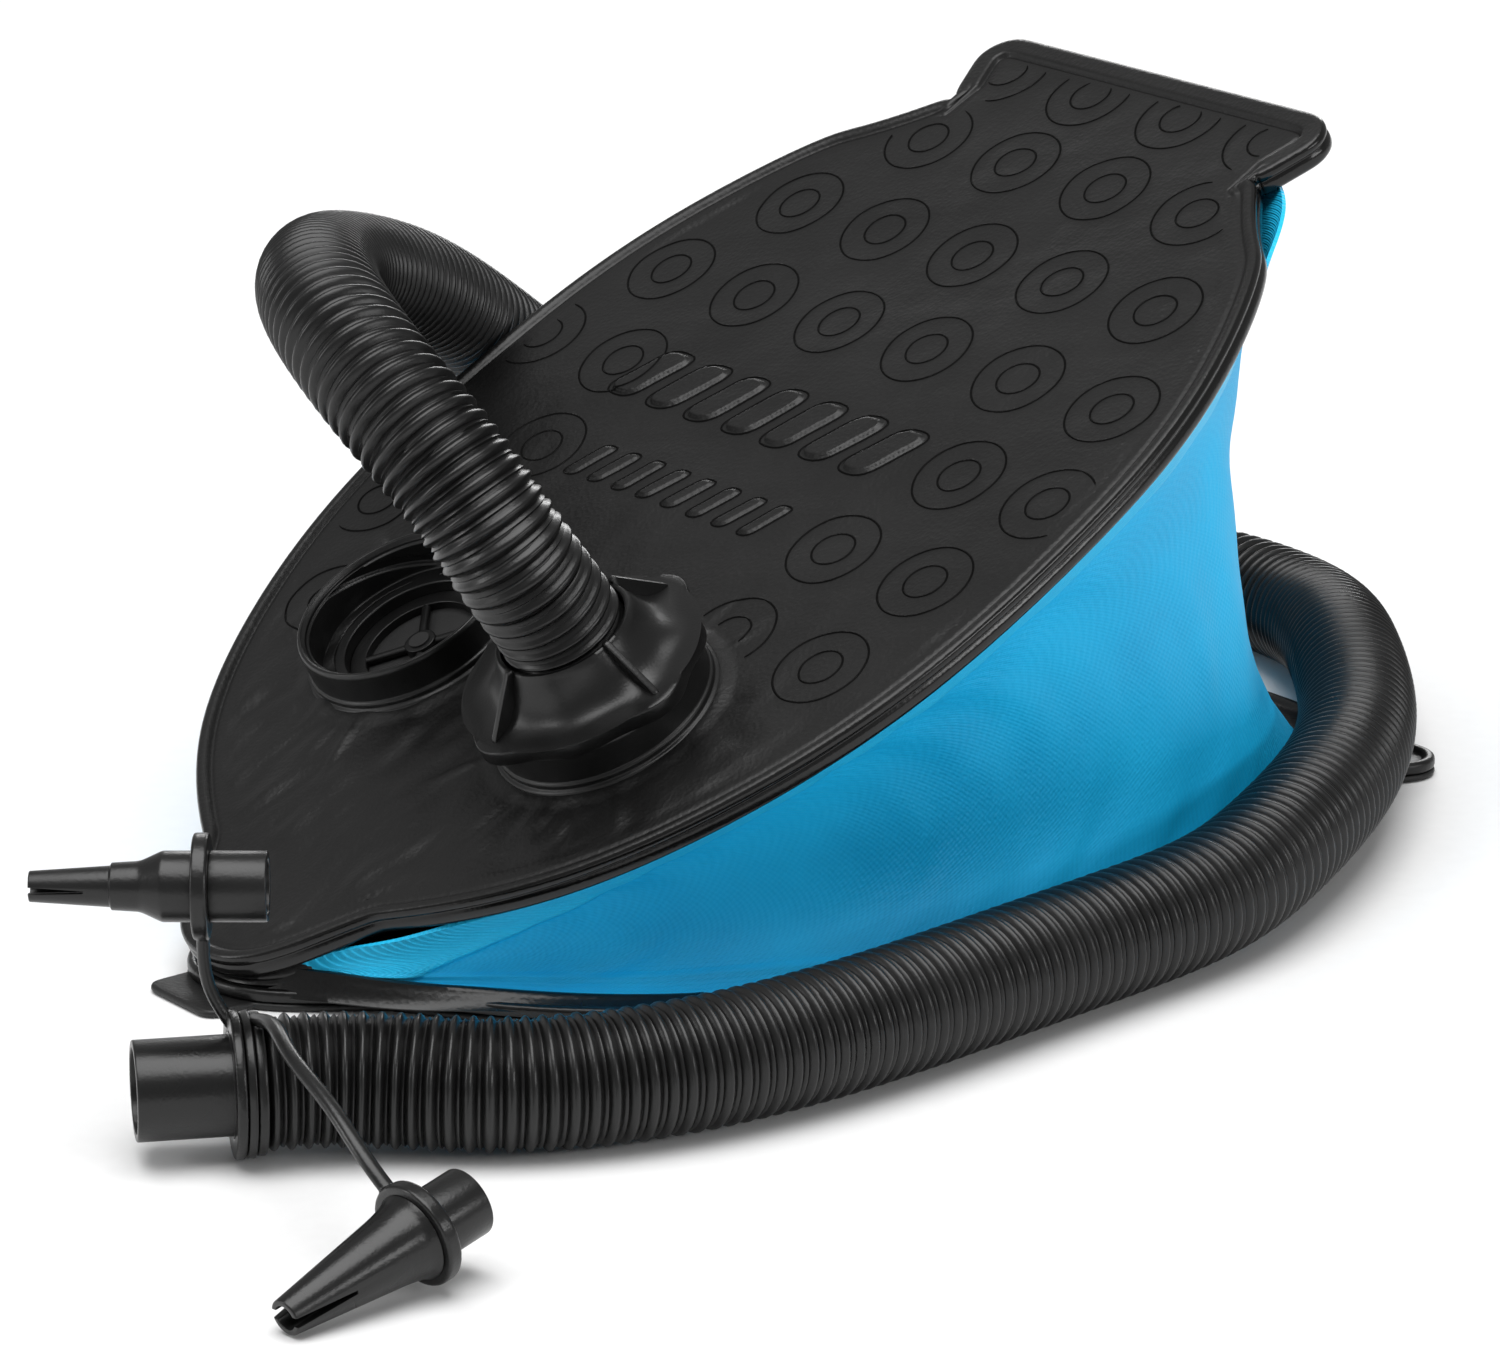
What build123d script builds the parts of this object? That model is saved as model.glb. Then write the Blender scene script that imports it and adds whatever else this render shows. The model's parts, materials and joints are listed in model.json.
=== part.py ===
from build123d import *
import os
from math import asin, cos, degrees, pi, radians, sin, sqrt

os.makedirs("parts", exist_ok=True)

# Two-port foot bellows pump, standing open. Millimetres, +Z up, nose at -X, heel at +X.
# The origin is the centre of the base's underside.

# ---- driving dimensions ----
length = 280.0
half_length = length / 2
open_angle = 29.35
closed_angle = 5.35

# hinge line across the nose: the fold between treadle and base
hinge_x = 3.0 - half_length
hinge_z = 8.5

# base, from the floor up
sole_thickness = 1.5
base_board_thickness = 2.5
flange_top = 3.0
bead_top = 4.2
plateau_top = 5.2
bead_width = 2.5

# treadle, measured along its normal from the hinge line
treadle_top = 3.67
treadle_thickness = 4.8
treadle_bottom = treadle_top - treadle_thickness
treadle_board_thickness = 3.2
treadle_board_inset = 7.0
treadle_bead_height = 0.8

# ports through the treadle
port_x = 83.0 - half_length
port_y = 31.8
port_wall_r = 22.5
port_bore_r = 20.2
port_rim = 9.5
port_floor = 1.0
barrel_r = 17.5
valve_bore_r = 15.5
valve_lip_r = 14.0
fit_gap = 0.1

# quick thread of the hose connector
thread_lead = 32.0
thread_starts = 2
groove_width = 2.4
lug_width = 1.6
lug_height = 4.0
lug_half_angle = 15.0

# valves
cage_low = -3.4
cage_thickness = 1.9
cage_ring_r = 12.0
flap_r = 13.4
flap_thickness = 0.8
flap_travel = 1.5
pin_r = 1.2

# main spring
spring_x = 160.0 - half_length
spring_wire_r = 1.6
spring_turns = 5
spring_low_r = 35.0
spring_high_r = 27.0
seat_wall = 2.0
seat_floor = 1.6
seat_height = 4.0
seat_hub_r = 14.0
screw_r = 1.5
screw_head_r = 3.2
screw_head_height = 1.4
screw_circle_r = 19.5

# hose and its fittings
hose_r = 12.5
hose_bore_r = 9.5
hose_inset = 12.0
cuff_r = 9.4
cuff_bore_r = 7.8
outlet_r = 9.3
outlet_bore_r = 6.6
outlet_length = 17.5
outlet_flange_r = 13.6
tether_seat_r = 9.7
strap_half_width = 1.35
strap_half_thickness = 0.9
tether_thickness = 2.1
outlet_flange_thickness = 1.7

# nozzles
nozzle_r = 6.45
nozzle_neck_r = 6.0
eyelet_r = 9.7
eyelet_thickness = 3.0

# ---- planes and directions ----
up = Vector(0, 0, 1)
across = Vector(0, 1, 0)
along = Vector(cos(radians(open_angle)), 0, sin(radians(open_angle)))
normal = Vector(-sin(radians(open_angle)), 0, cos(radians(open_angle)))
hinge = Vector(hinge_x, 0, hinge_z)
treadle_origin = hinge - along * hinge_x


def treadle_plane(height):
    """Plane parallel to the treadle, in the base's own coordinates, that far from the hinge line."""
    return Plane(origin=treadle_origin + normal * height, x_dir=along, z_dir=normal)


def on_treadle(x, y, height):
    """Point of the treadle: x and y as on the base, height above the treadle's top."""
    return treadle_origin + along * x + across * y + normal * (treadle_top + height)


def turning_plane(origin, axis, radial):
    """Plane for a turned profile: local X is the radius and local Y runs along the axis."""
    return Plane(origin=origin, x_dir=radial, z_dir=radial.cross(axis))


def port_plane(side, height=0.0):
    """Plane square to a port's axis; side is +1 for the deflate port and -1 for the inflate port."""
    return Plane(origin=on_treadle(port_x, side * port_y, height), x_dir=along, z_dir=normal)


def port_profile(side):
    """Plane for a profile turned about a port's axis."""
    return turning_plane(on_treadle(port_x, side * port_y, 0), normal, along)


def port_axis(side):
    return Axis(on_treadle(port_x, side * port_y, 0), normal)


def finish(piece, name):
    """Name a finished piece and write it."""
    piece.part.label = name
    export_step(piece.part, f"parts/{name}.step")


# ---- outlines ----
# half widths of the oval at distances from the nose
oval = [(43, 58.7), (74, 79), (111, 91), (160, 93.3), (206, 85), (240, 67)]
notch_x, notch_width = 118.0, 48.5
nose_notch_x, nose_notch_width = -119.5, 29.0
tab_half_width = 52.5


with BuildSketch() as footprint:
    # shared by treadle and base: blunt nose, oval, and a flared tab at the heel
    with BuildLine():
        nose = Spline(
            (-half_length - 2.8, 0),
            (-half_length + 0.7, 12),
            (nose_notch_x, nose_notch_width),
            tangents=[(0, 1), (0.75, 0.66)],
        )
        side = Spline(
            nose @ 1,
            *[(x - half_length, w) for x, w in oval],
            (notch_x, notch_width),
            tangents=[(0.5, 0.87), (0.75, -0.66)],
        )
        flare = Spline(side @ 1, (half_length - 8, tab_half_width), tangents=[(0.9, -0.2), (1, 0.1)])
        corner = ThreePointArc(
            flare @ 1,
            (half_length - 2.2, tab_half_width - 2.4),
            (half_length, tab_half_width - 8),
        )
        Line(corner @ 1, (half_length, 0))
        mirror(about=Plane.XZ)
    make_face()


def inset_footprint(distance):
    """The footprint drawn in by a distance all round."""
    edge = footprint.sketch.face().outer_wire()
    count = 150
    inside = []
    for i in range(count):
        place = (i + 0.5) / count
        inward = up.cross(edge % place)
        if inward.dot(edge @ place) > 0:
            inward = -inward
        inside.append(edge @ place + inward * distance)
    with BuildSketch(Plane.XY, mode=Mode.PRIVATE) as outline:
        with BuildLine():
            Spline(*inside, periodic=True)
        make_face()
    return outline.sketch


def bellows_outline(inset, heel_gap=0.0):
    """Smooth closed outline of the fabric wall, inset from the footprint."""
    heel = 277.5 - inset - heel_gap - half_length
    with BuildSketch(Plane.XY, mode=Mode.PRIVATE) as outline:
        with BuildLine():
            Spline(
                (10 + 0.6 * inset - half_length, 0),
                (26 - half_length, 38 - inset),
                *[(x - half_length, w - inset) for x, w in oval],
                (heel - 10, 49 - inset),
                (heel, 0),
                tangents=[(0, 1), (0, -1)],
            )
            mirror(about=Plane.XZ)
        make_face()
    return outline.sketch


# ---- base ----
board_half_length = 103.0
board_half_width = 60.0
board_gap = 0.5
plateau_border = 2.0


def base_oval(margin):
    """Oval of the base's board, grown by a margin."""
    with BuildSketch(Plane.XY, mode=Mode.PRIVATE) as outline:
        Ellipse(board_half_length + margin, board_half_width + margin)
    return outline.sketch


with BuildPart() as base_sole:
    with BuildSketch():
        add(footprint.sketch)
        with Locations((-half_length - 3, 0)):
            RectangleRounded(14, 22, 4)
    extrude(amount=sole_thickness)
finish(base_sole, "base_sole")

with BuildPart() as base_board:
    with BuildSketch(Plane.XY.offset(sole_thickness)):
        add(base_oval(0))
    extrude(amount=base_board_thickness)
    with BuildSketch(Plane.XY.offset(sole_thickness + base_board_thickness)):
        with Locations((spring_x, 0)):
            with PolarLocations(screw_circle_r, 3):
                Circle(screw_r + fit_gap)
    extrude(amount=-2.0, mode=Mode.SUBTRACT)
finish(base_board, "base_board")

with BuildPart() as base_skin:
    with BuildSketch(Plane.XY.offset(sole_thickness)):
        add(footprint.sketch)
    extrude(amount=flange_top - sole_thickness)
    with BuildSketch(Plane.XY.offset(flange_top)):
        add(footprint.sketch)
        add(inset_footprint(bead_width), mode=Mode.SUBTRACT)
    extrude(amount=bead_top - flange_top)
    with BuildSketch(Plane.XY.offset(flange_top)):
        add(base_oval(plateau_border))
    extrude(amount=plateau_top - flange_top)
    with BuildSketch(Plane.XY.offset(sole_thickness)):
        add(base_oval(board_gap))
    extrude(amount=base_board_thickness, mode=Mode.SUBTRACT)
    with BuildSketch(Plane.XY.offset(plateau_top)):
        with Locations((spring_x, 0)):
            with PolarLocations(screw_circle_r, 3):
                Circle(screw_r + fit_gap)
    extrude(amount=-2.0, mode=Mode.SUBTRACT)
finish(base_skin, "base_skin")

# short wall of folded skin under the nose, where treadle and base meet
web_inset = 4.0
web_thickness = 1.4
web_top = 6.1

with BuildPart() as nose_hinge_web:
    with BuildSketch(Plane.XY.offset(flange_top)):
        add(inset_footprint(web_inset))
        add(inset_footprint(web_inset + web_thickness), mode=Mode.SUBTRACT)
        with Locations((nose_notch_x - 2, 0)):
            Rectangle(2 * length, 4 * length, align=(Align.MIN, Align.CENTER), mode=Mode.SUBTRACT)
    extrude(amount=web_top - flange_top)
finish(nose_hinge_web, "nose_hinge_web")

# ---- treadle ----
high_heel_gap = 7.5

with BuildPart() as treadle_skin:
    with BuildSketch(treadle_plane(treadle_bottom)):
        add(footprint.sketch)
    extrude(amount=treadle_thickness)
    with BuildSketch(treadle_plane(treadle_top)):
        add(footprint.sketch)
        add(inset_footprint(bead_width), mode=Mode.SUBTRACT)
    extrude(amount=treadle_bead_height)
    with BuildSketch(treadle_plane(treadle_bottom)):
        add(bellows_outline(treadle_board_inset - fit_gap, high_heel_gap))
    extrude(amount=treadle_board_thickness, mode=Mode.SUBTRACT)
    with BuildSketch(treadle_plane(treadle_top)):
        with Locations((port_x, port_y), (port_x, -port_y)):
            Circle(barrel_r + fit_gap)
    extrude(amount=-treadle_thickness, mode=Mode.SUBTRACT)
finish(treadle_skin, "treadle_skin")

with BuildPart() as treadle_board:
    with BuildSketch(treadle_plane(treadle_bottom)):
        add(bellows_outline(treadle_board_inset, high_heel_gap))
        with Locations((port_x, port_y), (port_x, -port_y)):
            Circle(barrel_r + fit_gap, mode=Mode.SUBTRACT)
    extrude(amount=treadle_board_thickness)
    with BuildSketch(treadle_plane(treadle_bottom)):
        with Locations((spring_x, 0)):
            with PolarLocations(screw_circle_r, 3):
                Circle(screw_r + fit_gap)
    extrude(amount=2.6, mode=Mode.SUBTRACT)
finish(treadle_board, "treadle_board")


# ---- spring and its seats ----
def spring_seat(plane, coil_r, name):
    """Shallow cup that locates one end coil, with three screw holes through its floor."""
    with BuildPart() as seat:
        with BuildSketch(plane):
            Circle(coil_r + spring_wire_r + seat_wall + 0.6)
            Circle(seat_hub_r, mode=Mode.SUBTRACT)
        extrude(amount=seat_height)
        with BuildSketch(plane.offset(seat_floor)):
            Circle(coil_r + spring_wire_r + 0.6)
            Circle(seat_hub_r, mode=Mode.SUBTRACT)
        extrude(amount=seat_height, mode=Mode.SUBTRACT)
        with BuildSketch(plane):
            with PolarLocations(screw_circle_r, 3):
                Circle(screw_r + fit_gap)
        extrude(amount=seat_floor, mode=Mode.SUBTRACT)
    finish(seat, name)


def seat_screws(plane, depth, name):
    """Three pan-head screws standing on a seat's floor and reaching down into the board."""
    with BuildPart() as screws:
        with BuildSketch(plane.offset(seat_floor)):
            with PolarLocations(screw_circle_r, 3):
                Circle(screw_head_r)
        extrude(amount=screw_head_height)
        fillet(screws.edges().filter_by(GeomType.CIRCLE).group_by(SortBy.RADIUS)[-1], 0.5)
        with BuildSketch(plane.offset(seat_floor)):
            with PolarLocations(screw_circle_r, 3):
                Circle(screw_r)
        extrude(amount=-depth)
    finish(screws, name)


low_seat_plane = Plane(origin=(spring_x, 0, plateau_top), x_dir=(1, 0, 0), z_dir=(0, 0, 1))
high_seat_plane = Plane(
    origin=treadle_origin + along * spring_x + normal * treadle_bottom,
    x_dir=along,
    z_dir=-normal,
)
spring_seat(low_seat_plane, spring_low_r, "lower_spring_seat")
spring_seat(high_seat_plane, spring_high_r, "upper_spring_seat")
seat_screws(low_seat_plane, seat_floor + 2.6, "lower_seat_screws")
seat_screws(high_seat_plane, seat_floor + 2.2, "upper_seat_screws")

# The coil's axis is an arc about the hinge line, and its end turns lie flat in the seats.
coil_gap = 0.3
low_z = plateau_top + seat_floor + spring_wire_r + coil_gap
high_w = treadle_bottom - seat_floor - spring_wire_r - coil_gap


def coil_point(part_way):
    """Point of the coil, part_way from its lower end (0) to its upper end (1)."""
    turn = 2 * pi * spring_turns * part_way
    rise = min(max((part_way - 0.14) / 0.72, 0), 1)
    radius = spring_low_r + (spring_high_r - spring_low_r) * rise
    x = spring_x + radius * cos(turn)
    y = radius * sin(turn)
    low = Vector(x, y, low_z)
    high = treadle_origin + along * x + across * y + normal * high_w
    swing = radians(open_angle) * rise
    reach = x - hinge_x
    lift = low_z - hinge_z + (high_w - low_z + hinge_z) * rise
    arc = Vector(reach * cos(swing) - lift * sin(swing), y, reach * sin(swing) + lift * cos(swing))
    return low if rise == 0 else high if rise == 1 else hinge + arc


with BuildPart() as main_spring:
    with BuildLine():
        coil = Spline(*[coil_point(i / (10 * spring_turns)) for i in range(10 * spring_turns + 1)])
    with BuildSketch(Plane(origin=coil @ 0, z_dir=coil % 0)):
        Circle(spring_wire_r)
    sweep(path=coil, is_frenet=True)
finish(main_spring, "main_spring")

# ---- bellows wall: waisted fabric tube between base and treadle ----
wall_thickness = 0.9
wall_gap = 0.05
low_inset = 10.5
waist_inset = 19.0
high_inset = 3.0


def middle_plane():
    """Plane half-way round the fold between the base and the treadle."""
    half = radians(open_angle) / 2
    tilt = Vector(cos(half), 0, sin(half))
    square = Vector(-sin(half), 0, cos(half))
    middle = (flange_top - hinge_z + treadle_bottom) / 2
    return Plane(origin=hinge - tilt * hinge_x + square * middle, x_dir=tilt, z_dir=square)


def bellows_sections(shrink, extra):
    """Lower, waist and upper outlines, shrunk evenly; extra carries the two ends further apart."""
    with BuildSketch(Plane.XY.offset(flange_top + wall_gap - extra), mode=Mode.PRIVATE) as low:
        add(bellows_outline(low_inset + shrink))
    with BuildSketch(middle_plane(), mode=Mode.PRIVATE) as waist:
        add(bellows_outline(waist_inset + shrink))
    with BuildSketch(treadle_plane(treadle_bottom - wall_gap + extra), mode=Mode.PRIVATE) as high:
        add(bellows_outline(high_inset + shrink, high_heel_gap))
    return [low.sketch.face(), waist.sketch.face(), high.sketch.face()]


with BuildPart() as bellows_wall:
    loft(sections=bellows_sections(0, 0))
    loft(sections=bellows_sections(wall_thickness, 1.0), mode=Mode.SUBTRACT)
finish(bellows_wall, "bellows_wall")


# ---- ports and valves ----
def port_point(side, radius, angle, height):
    """Point at a radius and angle about a port's axis, at a height above the treadle."""
    turn = radians(angle)
    return on_treadle(port_x + radius * cos(turn), side * port_y + radius * sin(turn), height)


def helical_bar(side, start_angle, start_height, rise, radius, wide, deep):
    """Bar of rectangular section wound along the quick thread's helix."""
    steps = 6
    turn = 360 * rise / thread_lead
    with BuildPart(mode=Mode.PRIVATE) as bar:
        with BuildLine():
            path = Spline(
                *[
                    port_point(
                        side,
                        radius,
                        start_angle + turn * i / steps,
                        start_height + rise * i / steps,
                    )
                    for i in range(steps + 1)
                ]
            )
        with BuildSketch(Plane(origin=path @ 0, x_dir=normal, z_dir=path % 0)):
            Rectangle(wide, deep)
        sweep(path=path, is_frenet=True)
    return bar.part


def thread_angle(i):
    return 20 + i * 360 / thread_starts


def socket(side, name):
    """Threaded cup on the treadle, with a barrel through the board and a lip under the valve cage."""
    foot = treadle_thickness + 0.4
    lead_in = lug_half_angle + 3
    start = lug_height - lead_in / 360 * thread_lead
    with BuildPart() as cup:
        with BuildSketch(port_profile(side)):
            with BuildLine():
                Polyline(
                    (valve_lip_r, -foot),
                    (barrel_r, -foot),
                    (barrel_r, 0),
                    (port_wall_r + 1, 0),
                    (port_wall_r + 1, 1.6),
                    (port_wall_r, 2.2),
                    (port_wall_r, port_rim),
                    (port_bore_r, port_rim),
                    (port_bore_r, port_floor),
                    (valve_bore_r, port_floor),
                    (valve_bore_r, cage_low),
                    (valve_lip_r, cage_low),
                    close=True,
                )
            make_face()
        revolve(axis=port_axis(side))
        for i in range(thread_starts):
            groove = helical_bar(
                side,
                thread_angle(i) - lead_in,
                start,
                port_rim + 2 - start,
                port_bore_r + 0.5,
                groove_width,
                1.2,
            )
            add(groove, mode=Mode.SUBTRACT)
    finish(cup, name)


def valve_cage(side, name):
    """Spoked disc that carries the flap and its pin, resting on the socket's lip."""
    with BuildPart() as cage:
        with BuildSketch(port_plane(side, cage_low)):
            Circle(valve_bore_r - 0.05)
            Circle(cage_ring_r, mode=Mode.SUBTRACT)
            Circle(3.2)
            with PolarLocations(0, 4, start_angle=45):
                with Locations((cage_ring_r / 2 + 1, 0)):
                    Rectangle(cage_ring_r, 2.0)
            Circle(pin_r + 0.05, mode=Mode.SUBTRACT)
        extrude(amount=cage_thickness)
    finish(cage, name)


def flap_place(side):
    """Height of a flap's face against the cage, and the way it opens: out for inflate, in for deflate."""
    if side < 0:
        return cage_low + cage_thickness, 1
    return cage_low, -1


def valve_flap(side, name):
    """Rubber disc that lies on the cage and slides along its pin."""
    face, way = flap_place(side)
    with BuildPart() as flap:
        with BuildSketch(port_plane(side, face)):
            Circle(flap_r)
            Circle(pin_r + 0.1, mode=Mode.SUBTRACT)
        extrude(amount=way * flap_thickness)
    finish(flap, name)


def valve_pin(side, name):
    """Pin through the cage's hub, headed so that the flap can lift by its travel."""
    face, way = flap_place(side)
    stop = face + way * (flap_thickness + flap_travel + 0.02)
    back = face - way * cage_thickness
    with BuildPart() as pin:
        with BuildSketch(port_plane(side, back)):
            Circle(pin_r)
        extrude(amount=stop - back)
        with BuildSketch(port_plane(side, stop)):
            Circle(2.4)
        extrude(amount=way * 0.7)
        with BuildSketch(port_plane(side, back)):
            Circle(2.2)
        extrude(amount=-way * 0.6)
    finish(pin, name)


for side, name in ((1, "deflate"), (-1, "inflate")):
    socket(side, f"{name}_socket")
    valve_cage(side, f"{name}_valve_cage")
    valve_flap(side, f"{name}_flap")
    valve_pin(side, f"{name}_valve_pin")

# ---- hose connector in the inflate port ----
plug_r = port_bore_r - 0.2
plug_bore_r = 17.4
seal_r = 18.4
seal_top = port_floor + 1.3
cuff_flange_top = seal_top + 2.2
shoulder_top = cuff_flange_top + 1.8
collar_low = port_rim + 0.3
collar_edge = collar_low + 3.2
cone_top = 22.5
neck_r = 14.2
neck_bore_r = 12.9
grip_r = 25.2

with BuildPart() as connector_seal:
    with BuildSketch(port_plane(-1, port_floor)):
        Circle(seal_r)
        Circle(valve_bore_r + 0.3, mode=Mode.SUBTRACT)
    extrude(amount=seal_top - port_floor)
finish(connector_seal, "connector_seal")

with BuildPart() as hose_cuff:
    with BuildSketch(port_profile(-1)):
        with BuildLine():
            Polyline(
                (cuff_bore_r, seal_top),
                (plug_bore_r - 0.3, seal_top),
                (plug_bore_r - 0.3, cuff_flange_top),
                (cuff_r, cuff_flange_top),
                (cuff_r, cone_top - 0.8),
                (cuff_r - 0.8, cone_top),
                (cuff_bore_r, cone_top),
                close=True,
            )
        make_face()
    revolve(axis=port_axis(-1))
finish(hose_cuff, "hose_cuff")


def grip_radius(angle):
    """Lobed edge of the collar: four broad lobes at the ribs and four smaller ones between."""
    return grip_r + 0.9 * cos(4 * angle) + 0.9 * cos(8 * angle)


with BuildPart() as connector_collar:
    with BuildSketch(port_plane(-1, collar_low)):
        with BuildLine():
            Spline(
                *[
                    (grip_radius(2 * pi * i / 48) * cos(2 * pi * i / 48),
                     grip_radius(2 * pi * i / 48) * sin(2 * pi * i / 48))
                    for i in range(48)
                ],
                periodic=True,
            )
        make_face()
    extrude(amount=collar_edge - collar_low)
    with BuildSketch(port_profile(-1)):
        with BuildLine():
            foot = Line((0, collar_low), (23, collar_low))
            edge = Line(foot @ 1, (23, collar_edge + 0.6))
            cone = ThreePointArc(edge @ 1, (18.4, 16.2), (neck_r, cone_top))
            Polyline(cone @ 1, (0, cone_top), foot @ 0)
        make_face()
    revolve(axis=port_axis(-1))
    for quarter in range(4):
        with BuildSketch(
            turning_plane(
                on_treadle(port_x, -port_y, 0),
                normal,
                along.rotate(Axis((0, 0, 0), normal), 90 * quarter),
            )
        ):
            with BuildLine():
                Polyline(
                    (neck_r - 1, collar_edge),
                    (25.5, collar_edge),
                    (25.5, collar_edge + 1.0),
                    (neck_r, cone_top + 1.6),
                    (neck_r - 1, cone_top + 1.6),
                    close=True,
                )
            make_face()
        extrude(amount=1.1, both=True)
    with BuildSketch(port_profile(-1)):
        with BuildLine():
            Polyline(
                (plug_bore_r, seal_top + 0.3),
                (plug_r, seal_top + 0.3),
                (plug_r, collar_low + 1),
                (plug_bore_r, collar_low + 1),
                close=True,
            )
        make_face()
    revolve(axis=port_axis(-1))
    with BuildSketch(port_profile(-1)):
        with BuildLine():
            Polyline(
                (0, shoulder_top - 1),
                (plug_bore_r, shoulder_top - 1),
                (plug_bore_r, collar_edge),
                (neck_bore_r, cone_top - 2.5),
                (neck_bore_r, cone_top + 3),
                (0, cone_top + 3),
                close=True,
            )
        make_face()
    revolve(axis=port_axis(-1), mode=Mode.SUBTRACT)
    with BuildSketch(port_plane(-1, cuff_flange_top + 0.1)):
        Circle(plug_bore_r + 1)
        Circle(cuff_r + 0.1, mode=Mode.SUBTRACT)
    extrude(amount=shoulder_top - cuff_flange_top - 0.1)
    for i in range(thread_starts):
        lug = helical_bar(
            -1,
            thread_angle(i) - lug_half_angle,
            lug_height - lug_half_angle / 360 * thread_lead,
            2 * lug_half_angle / 360 * thread_lead,
            plug_r,
            lug_width,
            1.4,
        )
        add(lug)
finish(connector_collar, "connector_collar")

# ---- hose ----
outlet_centre = Vector(-45 - half_length, -71, 13.9)
outlet_axis = Vector(0.88, -0.475, 0).normalized()
fittings_length = 2 * tether_thickness + outlet_flange_thickness

# Centre line of the hose: over the treadle from the port, down on the far side, round the heel
# and back along the near side. Distances from the nose, across, and up from the floor.
over_treadle = [
    (49.8, -31, 85),
    (43, -23.5, 99.5),
    (38.5, -6, 114.5),
    (42, 16, 123),
    (57, 44, 123.5),
    (84, 74, 116),
    (112, 93, 105),
    (146, 112, 85.5),
]
round_heel = [
    (178, 124, 62),
    (206, 129, 39),
    (234, 124, 21),
    (264, 108, hose_r + 0.3),
    (290, 83, hose_r + 0.1),
    (305, 57, hose_r + 0.1),
    (307, 30, hose_r + 0.3),
    (298, 6, hose_r + 2.3),
    (282, -17, hose_r + 4.6),
    (261, -43, hose_r + 4.8),
    (234, -68.5, hose_r + 4.6),
]
near_side = [
    (192, -94.5, hose_r + 3.4),
    (167, -104, hose_r + 1.4),
    (138, -108, hose_r + 0.3),
    (106, -111, hose_r + 0.1),
    (52, -114.5, hose_r + 0.1),
    (31, -112.5, hose_r + 0.1),
    (11, -107, hose_r + 0.1),
    (-6, -98, hose_r + 0.3),
    (-19, -87, hose_r + 0.8),
]

hose_start = on_treadle(port_x, -port_y, cone_top + 0.5)
hose_finish = outlet_centre + outlet_axis * (fittings_length + 8.5)
with BuildLine() as hose_path:
    hose_line = Spline(
        on_treadle(port_x, -port_y, hose_inset),
        hose_start,
        *[(x - half_length, y, z) for x, y, z in over_treadle + round_heel + near_side],
        hose_finish,
        outlet_centre + outlet_axis * fittings_length,
    )


def straight_piece(start, end):
    """Straight piece of hose wall, pushed over the fitting inside it."""
    with BuildPart(mode=Mode.PRIVATE) as piece:
        with BuildSketch(Plane(origin=start, z_dir=end - start)):
            Circle(hose_r)
            Circle(hose_bore_r, mode=Mode.SUBTRACT)
        extrude(amount=(end - start).length)
    return piece.part


def arc_middle(start, start_way, end, end_way):
    """Place where two arcs meet that leave start and reach end in the given directions."""
    step = end - start
    ways = start_way + end_way
    spread = 2 * (1 - start_way.dot(end_way))
    reach = step.dot(step) / (step.dot(ways) + sqrt(step.dot(ways) ** 2 + spread * step.dot(step)))
    return (start + end + (start_way - end_way) * reach) * 0.5


def bent_piece(start, way, side, end):
    """Piece of hose wall bent in one arc, and the place, direction and seam side at its end."""
    step = end - start
    if way.cross(step).length < straight_enough * step.length:
        end = start + way * step.length
        return straight_piece(start, end), end, way, side
    turn_way = way.cross(step).normalized()
    inward = turn_way.cross(way)
    bend_r = step.dot(step) / (2 * step.dot(inward))
    turn = 2 * degrees(asin(step.length / (2 * bend_r)))
    with BuildPart(mode=Mode.PRIVATE) as piece:
        with BuildSketch(Plane(origin=start, x_dir=side, z_dir=way)):
            Circle(hose_r)
            Circle(hose_bore_r, mode=Mode.SUBTRACT)
        revolve(axis=Axis(start + inward * bend_r, turn_way), revolution_arc=turn)
    spin = Axis((0, 0, 0), turn_way)
    return piece.part, end, way.rotate(spin, turn), side.rotate(spin, turn)


# between its straight ends the hose is a chain of arcs, each starting the way the last one ended
hose_spans = 40
straight_enough = 0.002
straight_share = 10 / hose_line.length
hose_pieces = [
    straight_piece(on_treadle(port_x, -port_y, hose_inset), hose_start),
    straight_piece(hose_finish, outlet_centre + outlet_axis * fittings_length),
]
place, way, side = hose_start, normal, across
for k in range(hose_spans):
    span_end, end_way = hose_finish, -outlet_axis
    if k < hose_spans - 1:
        share = straight_share + (1 - 2 * straight_share) * (k + 1) / hose_spans
        span_end, end_way = hose_line @ share, hose_line % share
    for arc_end in (arc_middle(place, way, span_end, end_way), span_end):
        piece, place, way, side = bent_piece(place, way, side, arc_end)
        hose_pieces.append(piece)

with BuildPart() as hose:
    add(hose_pieces)
finish(hose, "hose")


# ---- hose outlet, tethers and nozzles ----
def outlet_profile():
    """Plane for profiles turned about the outlet: local Y runs from the mouth into the hose."""
    return turning_plane(outlet_centre, outlet_axis, up)


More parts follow.
